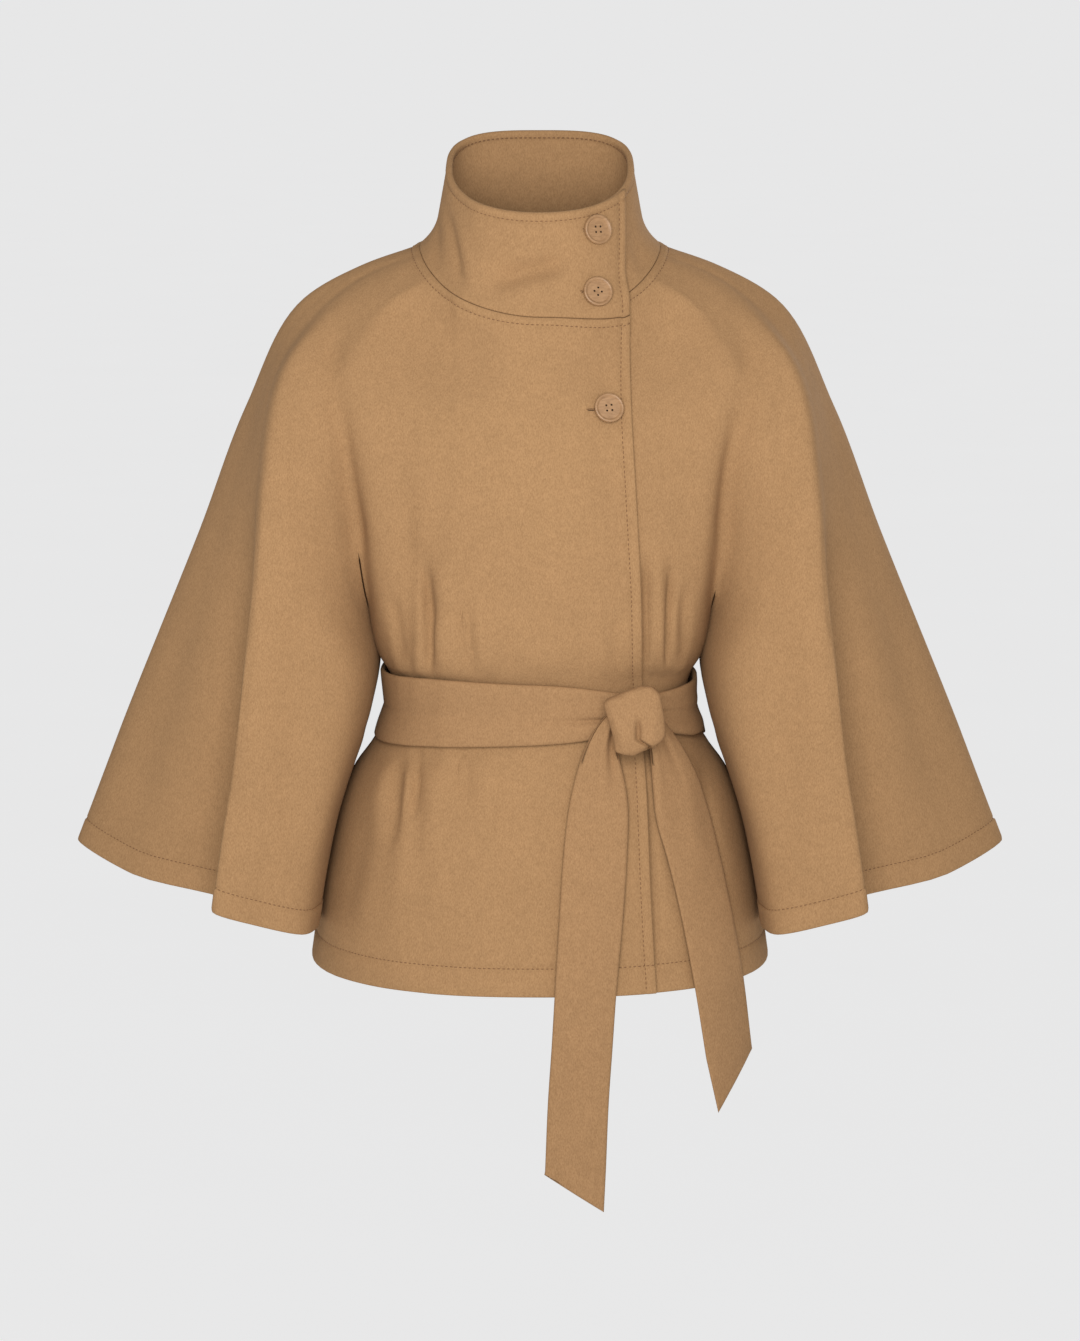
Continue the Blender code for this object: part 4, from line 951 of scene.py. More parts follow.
OVER_COLUMN = int(np.argmin(np.abs(right_form.u[1] - LINE_OVER)))
EDGE_COLUMN = int(np.argmin(np.abs(right_form.u[0] - 1)))
UNDER_COLUMN = int(np.argmin(np.abs(right_form.u[0] - UNDERLAP_U)))
SLEEVE_FRONT, SLEEVE_BACK = slice(0, OVER_COLUMN + 1), slice(OVER_COLUMN, None)
TO_EDGE, TO_UNDERLAP = slice(0, EDGE_COLUMN + 1), slice(0, UNDER_COLUMN + 1)
print("columns to the edge, the underlap and the overarm:", EDGE_COLUMN, UNDER_COLUMN, OVER_COLUMN)

# %% The right front, which lies on top
body, body_normals, body_relief = right_form.part(0)
crossing, crossing_normals, crossing_relief = columns_of(left_crossing.part(0), TO_EDGE)
crossing_lift = (crossing_relief + layer_size(left_crossing)[:, TO_EDGE]
                 + edge_relief(EDGE_COLUMN + 1))
right_lift = body_relief + overlap_share(neck_place(right_form.u[0])) * layer_size(right_form)
crossing_lift[:, 0] = right_lift[:, 0] = 0.5 * (crossing_lift[:, 0] + right_lift[:, 0])
right_strips = [(crossing, crossing_normals, crossing_lift), (body, body_normals, right_lift),
                columns_of(right_form.part(1), SLEEVE_FRONT)]
front_right = cloth_wall("front_right_cloth", right_strips)

# %% The left front, which runs on under it
body, body_normals, body_relief = left_form.part(0)
under, under_normals, _ = columns_of(right_form.part(0), TO_UNDERLAP)
uncovered = smooth(np.interp(left_form.u[0], (0.85, 1.05), (0.0, 1.0)))
left_strips = [(under, under_normals, 0.0), (body, body_normals, body_relief * uncovered),
               columns_of(left_form.part(1), SLEEVE_FRONT)]
front_left = cloth_wall("front_left_cloth", left_strips)

# %% The back, and how much cloth the three take
back_strips = []
for form in (right_form, left_form):
    back_strips += [columns_of(form.part(1), SLEEVE_BACK), form.part(2)]
back = cloth_wall("back_cloth", back_strips)
right_area, left_area, back_area = map(strips_area, (right_strips, left_strips, back_strips))
print("cloth areas, m2: right", round(right_area, 3), "left", round(left_area, 3),
      "back", round(back_area, 3))

# %% [markdown]
# ## The funnel collar
# One tall band of doubled melton stands on the neck seam. It starts at the buttoned edge,
# goes round by the wearer's right and the back, and ends under its own start. Its top leans
# forward: high at the nape, low under the chin. Its foot flares a little into the shoulders.

# %% The collar's surface
COLLAR_RISE = 22               # rows up the collar, apart from those at set distances
TOP_ROWS, TOP_STITCH = (9.6, 8.2, 6.8, 3.4, 0.0), 1
FOOT_ROWS = (0.0, 3.4, 7.0)
TURNED_TOP = 1.3               # the turned top is this much thicker than the band below it
FOOT_SHARE = 0.3               # of the relief and the sag, where the seam holds the band
COLLAR_CREASES = creases([         # the band sags a little over the collar bones
    (-50, -33, 24, -5, 8.5, 8.5), (-84, 46, -66, -34, 4.5, 2.4), (-76, 40, -56, -36, 6, -1.6),
    (-94, 30, -88, -20, 4, 2.0), (-40, 26, 40, 16, 16, -1.2), (78, 30, 92, -26, 6, 1.8),
], [
    (-60, 60, -74, -4, 9, 1.8), (52, 64, 70, 0, 10, 2.0), (-30, 20, 40, 12, 14, 1.6),
])


def collar_point(phi, h):
    """The collar's outer surface; phi runs from the centre front to the wearer's right."""
    s, c = math.sin(phi), math.cos(phi)
    face = -1 if c > 0 else 1
    foot_x = NECK_HALF * abs(s) ** (2 / NECK_POWER)
    foot = neck_point(np.array(foot_x), face)
    depth, top_z, power = ((COLLAR_FRONT, COLLAR_FRONT_Z, COLLAR_POWER) if face < 0
                           else (COLLAR_BACK, COLLAR_BACK_Z, COLLAR_BACK_POWER))
    x = COLLAR_HALF * abs(s) ** (2 / power)
    y = face * depth * abs(c) ** (2 / power)
    top = np.array([x, y, COLLAR_SIDE_Z + (top_z - COLLAR_SIDE_Z) * abs(y) / depth])
    inset = COLLAR_FLARE * (abs(s) * 0.6 + 0.4) * (1 - face * -0.5 * (abs(c) ** 2))
    out = foot + (top - foot) * h
    pull = inset * (1 - h) * (1 - (1 - min(h / 0.34, 1)) ** 2)
    plan = out[:2] / max(np.linalg.norm(out[:2]), 1)
    out[:2] -= plan * pull
    out[0] *= -1 if s > 0 else 1
    return out


print("collar's foot and top at the side, mm from the middle:",
      [round(float(abs(collar_point(math.pi / 2, h)[0]))) for h in (0, 1)])

# %% [markdown]
# The collar's columns start from the panels' own columns at the neck seam, so the band and the
# panels meet point for point. They are collected in sewing order: from the buttoned edge, by
# the wearer's right and the back, to the end under the edge.

# %% The collar's columns
def collar_columns(right, left, crossing):
    """The collar's columns in order: foot on the neck seam, neck point, cut normal, angle."""
    def angle(x):
        return math.asin(min(abs(x) / NECK_HALF, 1.0) ** (NECK_POWER / 2))

    def columns(form, part, turn, order=1, keep=None):
        grid, normals, _ = form.part(part)
        picked = [j for j, u in enumerate(form.u[part]) if keep is None or keep(u)]
        return [(grid[0, j], grid[0, j], normals[0, j], turn(angle(grid[0, j][0])))
                for j in picked[::order]]

    def between(low, high):
        return lambda u: low < u < high and abs(u * 2 - round(u * 2)) < 1e-6

    out = [(crossing.points[0][0, j], left.points[0][0, j], crossing.normals[0][0, j],
            -angle(left.points[0][0, j][0])) for j in range(EDGE_COLUMN, 0, -1)]
    for form, start, order in ((right, 0.0, 1), (left, math.pi, -1)):
        near, far = (lambda a, s=start: s + a), (lambda a, s=start: s + math.pi - a)
        if form is left:
            near, far = far, near
        quarter = [columns(form, 0, near, order),
                   columns(form, 1, near, order, between(LINE_SIDE, LINE_OVER + 0.25)),
                   columns(form, 1, far, order, between(LINE_OVER + 0.25, LINE_BACK_SIDE)),
                   columns(form, 2, far, order)]
        for stretch in quarter[::order]:
            out += stretch
        if form is right:
            out.pop()
    for j in range(1, UNDER_COLUMN + 1):
        out.append((right.points[0][0, j], right.points[0][0, j], right.normals[0][0, j],
                    2 * math.pi + angle(right.points[0][0, j][0])))
    return out


columns = collar_columns(right_form, left_form, left_crossing)
print("collar columns:", len(columns))

# %% The collar's band
UNDER_EDGE_POINTS, COLLAR_POINTS = 12, 49  # up a column: below the neck seam, and above it
top_edge = math.asin((EDGE_AT_TOP / COLLAR_HALF) ** (COLLAR_POWER / 2))
spread = top_edge / abs(columns[0][3]) - 1
collar_grid = []
for foot, neck, _, phi in columns:
    path = ([foot + (neck - foot) * k / UNDER_EDGE_POINTS for k in range(UNDER_EDGE_POINTS)]
            if phi < -1e-6 else [])
    slip = neck - collar_point(phi, 0)
    for h in np.linspace(0, 1, COLLAR_POINTS):
        turn = phi * (1 + spread * h) if phi < 0 else phi
        path.append(collar_point(turn, h) + slip * max(0.0, 1 - 4 * h))
    path = np.array(path)
    run = run_along(path)
    high = run[-1] - np.array(TOP_ROWS)
    rise = np.linspace(FOOT_ROWS[-1], high[0], COLLAR_RISE)[1:-1]
    wanted = np.concatenate([FOOT_ROWS, rise, high])
    collar_grid.append([[np.interp(w, run, path[:, k]) for k in range(3)] for w in wanted])
collar_grid = np.array(collar_grid).transpose(1, 0, 2)
collar_normals = unit(np.cross(np.gradient(collar_grid, axis=1), np.gradient(collar_grid, axis=0)))
collar_normals *= np.sign((collar_normals[..., :2] * collar_grid[..., :2]).sum())
for _ in range(4):                          # the two-part seam under the edge is evened out
    beside = collar_normals[:-2] + collar_normals[2:]
    collar_normals[1:-1] = unit(collar_normals[1:-1] + 0.5 * beside)
collar_normals[0] = np.array([cut for _, _, cut, _ in columns])
print("collar rows and columns:", collar_grid.shape[:2])

# %% The collar's thickness, edges and sag
rows = len(collar_grid)
stitch_row = rows - len(TOP_ROWS) + TOP_STITCH
phi = np.array([angle for _, _, _, angle in columns])
foot_x = np.array([abs(neck[0]) for _, neck, _, _ in columns])
over_share = np.where(phi < 0, 1.0, np.where(phi < math.pi / 2, overlap_share(foot_x), 0.0))
relief = np.zeros(collar_grid.shape[:2])
relief[stitch_row + 1:] += 1.1 * PUFF
relief[stitch_row] -= GROOVE
relief += edge_relief(len(phi))[::-1] * smooth((np.arange(rows) - 1) / 3)[:, None]
sag = creased(collar_grid, collar_normals, COLLAR_CREASES)
sag[:2] *= FOOT_SHARE
relief[:2] *= FOOT_SHARE
relief += sag
thicker = np.zeros((rows, 1))
thicker[stitch_row + 1:] = TURNED_TOP
over_lift = OVERLAP_COLLAR * over_share[None]
collar_outer = collar_grid + collar_normals * (over_lift + relief)[..., None]
collar_inner = collar_grid + collar_normals * (over_lift - COLLAR_CLOTH - thicker + sag)[..., None]
collar_outer[0, :, 2] += TOUCH
collar_inner[0, :, 2] += TOUCH
collar = doubled_strip("collar_cloth", collar_outer, collar_inner, MELTON)
collar_area = cut_area(collar_grid)
print("collar m2:", round(collar_area, 3))

# %% [markdown]
# ## The belt
# The belt is a doubled strip that draws the waist in. It runs flat round the back, rides up a
# little on the wearer's right, and is pulled narrower, with a crease along its middle, where
# it goes into the knot. Its grid follows the form at the waist, column by column.

# %% The belt's place on the form
KNOT_AT, KNOT_DEEP = (83.5, -403.0), 11.0
BELT_X = ((0, 1, 2, 3, 4), (0, 89, 110, 129, 137))
BELT_EDGE = 0.10                # share of the band's width that each rolled edge takes
BELT_LEVELS = np.concatenate([[0.0], np.linspace(BELT_EDGE, 1 - BELT_EDGE, 27), [1.0]])
BELT_AIR = 0.25                 # more air under the belt than under a flat layer
RIDES_UP, PULLED_IN = 0.36, 52.0    # rings up on the right; mm from the knot that it narrows


def belt_stretch(form, part, order):
    """One quarter of the belt: its grid, how far it lies over two layers, and its x."""
    u = form.u[part]
    x = np.interp(u, *BELT_X) * form.half if part == 0 else np.full(len(u), 999.0)
    near = hump(x, KNOT_AT[0], PULLED_IN)[:, None]
    at_top = form.sample(part, np.full((1, len(u)), float(BELT_TOP)))[0]
    raised = RIDES_UP * smooth((-at_top[:, 0] - 5) / 110)
    rings = [BELT_TOP - raised, np.full(len(u), 0.5 * (BELT_TOP + BELT_LOW)),
             np.full(len(u), float(BELT_LOW))]
    high, middle, low = [form.sample(part, ring[None])[0] for ring in rings]
    top = high + (middle - high) * (0.06 + 0.34 * near)
    low = low + (middle - low) * (0.08 + 0.44 * near)
    t = BELT_LEVELS[:, None, None]
    grid = np.where(t < 0.5, top + (middle - top) * 2 * t, middle + (low - middle) * (2 * t - 1))
    layers = ((overlap_share(neck_place(u)) if form is right_form else 1 - smooth((u - 1) / 0.8))
              if part == 0 else np.zeros(len(u)))
    cut = slice(None) if form is right_form and part == 0 else slice(0, -1)
    return grid[:, ::order][:, cut], layers[::order][cut], x[::order][cut]


quarters = [belt_stretch(*where) for where in
            ((left_form, 0, 1), (left_form, 2, 1), (right_form, 2, -1), (right_form, 0, -1))]
belt_grid = np.concatenate([grid for grid, _, _ in quarters], axis=1)
belt_lift = np.concatenate([layers for _, layers, _ in quarters]) * OVERLAP_FRONT
belt_lift = belt_lift + SEAM_GAP + BELT_AIR + PUFF      # clear of the fine folds under it
belt_x = np.concatenate([x for _, _, x in quarters])
print("belt, mm round the waist:", round(run_along(belt_grid[len(BELT_LEVELS) // 2])[-1]))

# %% The belt's folds
ahead = np.roll(belt_grid[:, :-1], -1, axis=1)
behind = np.roll(belt_grid[:, :-1], 1, axis=1)
out = np.cross(ahead - behind, np.array([0, 0, 1.0]))
out[..., 2] = 0
out = unit(out)
out = np.concatenate([out, out[:, :1]], axis=1)
out *= np.sign((out * belt_grid).sum())
t = 2 * BELT_LEVELS[:, None] - 1            # -1 along the top edge, 1 along the lower one
away = np.abs(belt_x - KNOT_AT[0])[None]
toward = hump(away, 0, 60.0)
body_round = 0.9 * (1 - np.abs(t) ** 4)
on_right = smooth((KNOT_AT[0] - belt_x[None]) / 12)
crease = -5.2 * hump(t, 0.22, 0.10) * hump(away, 0, 62.0) * on_right
second = -3.2 * hump(t, -0.10, 0.10) * hump(away, 0, 30.0) * (1 - on_right)
swell = (2.4 * hump(t, -0.12, 0.26) + 1.8 * hump(t, 0.56, 0.28)) * toward
slack = 0.5 * np.sin(belt_x[None] * 0.045 + 3 * t) + 0.35 * np.sin(belt_x[None] * 0.11)
belt_face = belt_lift[None] + BELT_CLOTH + body_round + crease + second + swell + 0.5 * slack
belt_inner = belt_grid + out * belt_lift[None, :, None]
belt_outer = belt_grid + out * belt_face[..., None]
belt_band = doubled_strip("belt_band_cloth", belt_outer[:, :-1], belt_inner[:, :-1],
                          BELT_MELTON, closed=True)
belt_area = cut_area(belt_grid)
print("belt m2:", round(belt_area, 3))

# %% [markdown]
# ## The belt's two tails
# Each tail leaves the knot gathered, so its top is narrow and round, opens to its full width,
# lies on the skirt and hangs free past the hem to a slanted end.

# %% The tails
Tail = namedtuple("Tail", "z left right")
TAIL_RIGHT = [Tail(*row) for row in (
    (-397, 61, 76), (-411, 49, 68), (-432, 38, 68), (-453, 31, 73), (-474, 26, 76.5),
    (-524, 20, 76), (-570, 17, 73), (-637, 13, 67), (-690, 10, 63.5), (-736, 7, 60.5),
    (-801, 4.4, 58),
)]
TAIL_RIGHT_TIP = (56.3, -836)
TAIL_LEFT = [Tail(*row) for row in (
    (-399, 86, 101), (-412, 93, 110), (-432, 96, 124), (-461, 98, 139), (-491, 101, 149),
    (-526, 111, 158), (-566, 121, 167), (-636, 135, 180), (-709, 147, 189.5),
)]
TAIL_LEFT_TIP = (158.5, -758)
HEM_Z = -641
TAIL_ROWS, TAIL_COLUMNS, END_ROWS = 60, 19, 6
STIFF_PASSES, TAIL_AIR = 60, 0.2


def tree_of(*objects):
    """One search tree of the faces of several pieces, for seating others on them."""
    verts, faces = [], []
    for made in objects:
        start = len(verts)
        verts += [v.co.copy() for v in made.data.vertices]
        faces += [[start + i for i in f.vertices] for f in made.data.polygons]
    return BVHTree.FromPolygons(verts, faces)


def front_y(tree, x, z):
    """Where the front's outermost cloth lies at x and z, in mm."""
    hit = tree.ray_cast(Vector((x, -900, z)) * MM, Vector((0, 1, 0)))[0]
    return None if hit is None else hit.y / MM


def tail_grid(rows, tip, tip_on_left, tree):
    """The tail's inner face, seated on what is behind it."""
    table = np.array([(r.left, r.z, r.right) for r in rows])
    line = through(table, np.linspace(0, len(rows) - 1, TAIL_ROWS))
    share = np.linspace(0, 1, TAIL_COLUMNS)
    x = line[:, :1] + (line[:, 2:] - line[:, :1]) * share[None]
    z = np.repeat(line[:, 1:2], TAIL_COLUMNS, axis=1)
    end_x = (np.linspace(tip[0], line[-1, 2] + 0.6, TAIL_COLUMNS) if tip_on_left
             else np.linspace(line[-1, 0] - 0.6, tip[0], TAIL_COLUMNS))
    cut = 1 - share if tip_on_left else share
    end_z = line[-1, 1] + (tip[1] - line[-1, 1]) * cut - 3
    for k in range(1, END_ROWS + 1):
        x = np.vstack([x, x[TAIL_ROWS - 1] + (end_x - x[TAIL_ROWS - 1]) * k / END_ROWS])
        z = np.vstack([z, z[TAIL_ROWS - 1] + (end_z - z[TAIL_ROWS - 1]) * k / END_ROWS])
    y = np.zeros_like(x)
    for i, j in np.ndindex(x.shape):
        near = [front_y(tree, x[i, j], max(z[i, j] + dz, HEM_Z)) for dz in (-10, 0, 10)]
        y[i, j] = min(v for v in near if v is not None)
    y -= 1.3 * smooth((HEM_Z + 60 - z) / 60)
    for _ in range(STIFF_PASSES):           # the strip is stiff, so it evens out the skirt
        y[1:-1] = np.minimum(y[1:-1], 0.5 * y[1:-1] + 0.25 * (y[:-2] + y[2:]))
        y[:, 1:-1] = np.minimum(y[:, 1:-1], 0.5 * y[:, 1:-1] + 0.25 * (y[:, :-2] + y[:, 2:]))
    return np.stack([x, y - SEAM_GAP - TAIL_AIR, z], -1)


def tail_relief(grid, side):
    """Folds that run down from the knot, a crown over the strip, and a slow sway."""
    t = np.linspace(-1, 1, TAIL_COLUMNS)[None]
    fall = grid[0, 0, 2] - grid[..., 2]
    near = hump(fall, 0, 42.0)
    crown = 0.5 * (1 - t**4) + 5.0 * (1 - t**2) * near
    if side > 0:
        folds = (-5.5 * hump(t, 0.05 + fall / 300, 0.20) * near
                 + 2.2 * hump(t, -0.62, 0.2) * hump(fall, 0, 70))
    else:
        folds = (-6.0 * hump(t, 0.66 - fall / 420, 0.17)
                 * hump(fall, 22, 36)
                 + 1.6 * hump(t, 0.30, 0.22) * hump(fall, 30, 40))
    sway = 0.5 * np.sin(fall / 46 + 2 * side + 2.4 * t) * smooth(fall / 120)
    return crown + folds + sway


def belt_tail(name, rows, tip, side, tree):
    grid = tail_grid(rows, tip, side > 0, tree)
    outer = grid.copy()
    outer[..., 1] -= BELT_CLOTH - 0.4 + tail_relief(grid, side)
    return doubled_strip(name, outer, grid, BELT_MELTON), cut_area(grid)


under_tails = tree_of(front_right, front_left, belt_band)
tail_right, tail_right_area = belt_tail("belt_tail_right_cloth", TAIL_RIGHT, TAIL_RIGHT_TIP, -1,
                                        under_tails)
tail_left, tail_left_area = belt_tail("belt_tail_left_cloth", TAIL_LEFT, TAIL_LEFT_TIP, +1,
                                      under_tails)
print("tails, m2:", round(tail_right_area, 4), round(tail_left_area, 4))

# %% [markdown]
# ## The knot
# One end of the belt is wrapped over the other and tucked down behind itself. What shows is a
# flat-faced turn of cloth, pinched at its lower middle where the end goes in, with a soft
# lobe on each side. A sphere is pressed to that outline level by level, and its folds are
# then drawn in by formula.

# %% The knot
Knot = namedtuple("Knot", "z left right")
KNOT = [Knot(*row) for row in (
    (30.5, 3, 13), (24, -14, 20), (15.5, -28, 22), (6, -26, 24), (-2, -23.5, 25), (-15, -20, 24),
    (-22, -19, 16), (-27.5, -17, 4), (-30.5, -7, -1),
)]
KNOT_LEVELS, KNOT_AIR = 161, 0.4


def belt_knot(tree):
    bpy.ops.mesh.primitive_uv_sphere_add(segments=128, ring_count=84, radius=1.0)
    made = bpy.context.object
    made.name = made.data.name = "belt_knot_cloth"
    table = np.array([(row.z, row.left, row.right) for row in KNOT[::-1]], float)
    fine = through(table, np.linspace(0, len(table) - 1, KNOT_LEVELS))
    order = np.argsort(fine[:, 0])
    points = np.array([v.co for v in made.data.vertices])
    x, y, z = points.T
    wide = np.maximum(np.sqrt(np.maximum(1 - z * z, 0)), 1e-6)
    high = table[-1, 0] * np.sign(z) * np.abs(z) ** 0.85
    left = np.interp(high, fine[order, 0], fine[order, 1])
    right = np.interp(high, fine[order, 0], fine[order, 2])
    t = x / wide
    t = np.sign(t) * np.abs(t) ** 0.92
    across = 0.5 * (left + right) + 0.5 * (right - left) * t
    deep = KNOT_DEEP * np.sign(y) * np.abs(y) ** 0.62
    front = smooth(-y / 0.35)
    middle = 1.5 + 10.0 * smooth((-14.0 - high) / 9.0)
    pinch = (6.0 * hump(across, middle, 2.2) * smooth((8.0 - high) / 14.0)
             + 3.4 * hump(across, middle, 5.0) * smooth((-20.0 - high) / 6.0))
    lobes = (1.6 * hump(across, -9, 8.5) * hump(high, -12, 12)
             + 1.4 * hump(across, 15, 6.0) * hump(high, -4, 15))
    roll = hump(across, 0.3 * (15 - high) - 23, 2.6)
    pull = -0.9 * hump(high, 21 - 0.25 * across, 3.2)
    deep = deep + front * (pinch - lobes - roll - pull)
    points = np.stack([KNOT_AT[0] + across, deep, KNOT_AT[1] + high], -1)
    room = min(front_y(tree, p[0], p[2]) - p[1] for p in points[::7])
    points[:, 1] += room - SEAM_GAP - KNOT_AIR
    made.data.vertices.foreach_set("co", (points * MM).ravel())
    bpy.ops.object.shade_smooth()
    made.data.materials.append(BELT_MELTON)
    bpy.ops.object.select_all(action="DESELECT")
    return made


knot = belt_knot(tree_of(front_right, front_left, belt_band, tail_right, tail_left))
print("knot faces:", len(knot.data.polygons))

# %% [markdown]
# ## Buttons
# A coat button is turned on a lathe from a cast blank: a flat back, a round shoulder, a raised
# rim and a sunk flat middle, then four holes drilled through. Here a cylinder is inset and
# pushed in for the middle, its edges are bevelled, and four round cutters make the holes. Each
# is then laid on the seat of its solid, which gives its centre and the way it faces.

# %% Selecting by place, and four drilled holes
BUTTON_R, BUTTON_T = 12.9, 4.0
RIM_IN, MIDDLE_IN, MIDDLE_DEEP = 1.7, 1.5, 1.5
SHOULDER, RIM_EDGE, NEAR = 1.1, 0.45, 0.05     # two bevels, and how near counts as on an edge
HOLE_R, HOLE_AT = 0.95, 3.3


def pick(mesh_object, kind, test):
    """Select the faces whose middle and normal pass a test, or the edges whose ends do."""
    bpy.ops.mesh.select_mode(type=kind)
    bpy.ops.mesh.select_all(action="DESELECT")
    mesh = bmesh.from_edit_mesh(mesh_object.data)
    for item in mesh.faces if kind == "FACE" else mesh.edges:
        item.select = (test(item.calc_center_median() / MM, item.normal) if kind == "FACE"
                       else all(test(v.co / MM, None) for v in item.verts))
    mesh.select_flush_mode()
    bmesh.update_edit_mesh(mesh_object.data)


def select_only(*objects):
    """Leave only these objects selected, the first of them active."""
    bpy.ops.object.select_all(action="DESELECT")
    for made in objects:
        made.select_set(True)
    bpy.context.view_layer.objects.active = objects[0]


def drilled(button, angles):
    """Cut four round holes right through a button."""
    cutters = []
    for a in angles:
        bpy.ops.mesh.primitive_cylinder_add(
            vertices=20, radius=HOLE_R * MM, depth=4 * BUTTON_T * MM,
            location=(HOLE_AT * MM * math.cos(a), HOLE_AT * MM * math.sin(a), 0))
        cutters.append(bpy.context.object)
    select_only(*cutters)
    bpy.ops.object.join()
    drill = bpy.context.object
    select_only(button)
    cut = button.modifiers.new("drilled", "BOOLEAN")
    cut.operation, cut.object, cut.solver = "DIFFERENCE", drill, "MANIFOLD"
    bpy.ops.object.modifier_apply(modifier=cut.name)
    bpy.data.objects.remove(drill, do_unlink=True)


# %% [markdown]
# A boolean that fails leaves its mesh as it was, or worse, and says nothing. So the volume and
# the thickness of each drilled button are printed: 4 mm thick means that no cutter is left.

# %% Turned and drilled buttons
def turned_button(name, quarter):
    """One button, flat on the ground; quarter turns its holes to lie square or as a diamond."""
    bpy.ops.mesh.primitive_cylinder_add(vertices=72, radius=BUTTON_R * MM,
                                        depth=BUTTON_T * MM, location=(0, 0, BUTTON_T * MM / 2))
    made = bpy.context.object
    bpy.ops.object.transform_apply(location=True, rotation=True, scale=True)
    made.name = made.data.name = name
    bpy.ops.object.mode_set(mode="EDIT")
    pick(made, "FACE", lambda p, n: n.z > 0.9)
    bpy.ops.mesh.inset(thickness=RIM_IN * MM)
    bpy.ops.mesh.inset(thickness=MIDDLE_IN * MM)
    bpy.ops.transform.translate(value=(0, 0, -MIDDLE_DEEP * MM))
    bpy.ops.mesh.inset(thickness=0.6 * MM)
    pick(made, "EDGE", lambda p, n: math.hypot(p.x, p.y) > BUTTON_R - NEAR
         and (p.z > BUTTON_T - NEAR or p.z < NEAR))
    bpy.ops.mesh.bevel(offset=SHOULDER * MM, segments=5, affect="EDGES")
    pick(made, "EDGE", lambda p, n: abs(math.hypot(p.x, p.y) - BUTTON_R + RIM_IN) < NEAR
         and p.z > BUTTON_T - NEAR)
    bpy.ops.mesh.bevel(offset=RIM_EDGE * MM, segments=3, affect="EDGES")
    bpy.ops.object.mode_set(mode="OBJECT")
    angles = [math.radians(45 + 90 * k + quarter) for k in range(4)]
    drilled(made, angles)
    blank = bmesh.new()
    blank.from_mesh(made.data)
    print(name, "drilled: mm3", round(blank.calc_volume(signed=True) / MM ** 3, 1), "thick, mm",
          round(made.dimensions.z / MM, 2))
    blank.free()
    bpy.ops.object.shade_smooth_by_angle(angle=math.radians(40))
    made.data.materials.clear()             # the boolean leaves an empty place in the list
    made.data.materials.append(HORN)
    made.data.materials.append(HOLE_SHADE)
    for wall in made.data.polygons:         # the four holes' walls take the painted shade
        x, y = wall.center.x / MM, wall.center.y / MM
        off = min(math.hypot(x - HOLE_AT * math.cos(a), y - HOLE_AT * math.sin(a))
                  for a in angles)
        wall.material_index = int(off < HOLE_R and abs(wall.normal.z) < 0.5)
    bpy.ops.object.select_all(action="DESELECT")
    return made


def seated(made, node):
    """Lay a button on the seat of its solid, facing the way the solid faces."""
    solid = np.array([v.co for v in bpy.data.objects[node].data.vertices])
    solid = np.unique(np.round(solid, 7), axis=0)
    middle = 0.5 * (solid.min(axis=0) + solid.max(axis=0))
    face = np.linalg.svd(solid - solid.mean(axis=0))[2][2]
    face = face * -np.sign(face[1])
    seat = Vector(middle + face * ((solid - middle) @ face).min())
    made.data.transform(Vector(face).to_track_quat("Z", "Y").to_matrix().to_4x4())
    for v in made.data.vertices:
        v.co += seat
    return made, seat


buttons = [seated(turned_button(f"button_{number}_turned", quarter), f"button_{number}")
           for number, quarter in ((1, 0), (2, 38), (3, 4))]
print("button seats, mm:", [[round(c / MM, 1) for c in seat] for _, seat in buttons])

# %% [markdown]
# ## Topstitching
# A machine stitch shows as a short round strand that dips into the cloth at each end, about
# 3 mm long, and the next one starts 1 mm on. All the stitches of a seam run along one row or
# one column of a panel's grid, in its groove. Each is a small six-sided spindle, and a seam's
# stitches are one mesh.

# %% Stitches along a line
STITCH_STEP, STITCH_LONG, STITCH_THICK, STITCH_SIDES = 4.2, 3.1, 0.55, 6
SPINDLE = ((0.0, 0.25, -0.62), (0.16, 0.85, -0.10), (0.5, 1.0, 0.12), (0.84, 0.85, -0.10),
           (1.0, 0.25, -0.62))            # share along, share of thickness, height in mm


def stitch_run(path, normals, step=STITCH_STEP, long=STITCH_LONG, thick=STITCH_THICK):
    """Points and faces of the stitches along one line, given with its outward normals."""
    run = run_along(path)
    count = int(run[-1] // step)
    verts, faces = [], []
    for k in range(count):
        start = (k + 0.5) * run[-1] / count - long / 2
        rings = []
        for along, fat, high in SPINDLE:
            at = start + along * long
            p = np.array([np.interp(at, run, path[:, c]) for c in range(3)])
            n = unit(np.array([np.interp(at, run, normals[:, c]) for c in range(3)]))
            rings.append((p + n * high, n, fat * thick))
        way = unit(rings[-1][0] - rings[0][0])
        base = len(verts)
        for p, n, r in rings:
            side = np.cross(way, n)
            for s in range(STITCH_SIDES):
                a = 2 * math.pi * s / STITCH_SIDES
                verts.append(p + r * (math.cos(a) * side + math.sin(a) * n))
        for ring in range(len(SPINDLE) - 1):
            for s in range(STITCH_SIDES):
                a = base + ring * STITCH_SIDES + s
                b = base + ring * STITCH_SIDES + (s + 1) % STITCH_SIDES
                faces.append([a, b, b + STITCH_SIDES, a + STITCH_SIDES])
        last = base + (len(SPINDLE) - 1) * STITCH_SIDES
        faces.append([base + s for s in reversed(range(STITCH_SIDES))])
        faces.append([last + s for s in range(STITCH_SIDES)])
    return verts, faces


def stitches(name, runs):
    """One mesh of several runs of stitches, on the wool."""
    verts, faces = [], []
    for more, quads in runs:
        faces += [[i + len(verts) for i in quad] for quad in quads]
        verts += more
    return on_the_wool(sewn(name, np.array(verts) * MM, faces, THREAD))


def on_the_wool(piece):
    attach(piece, "root")
    return piece


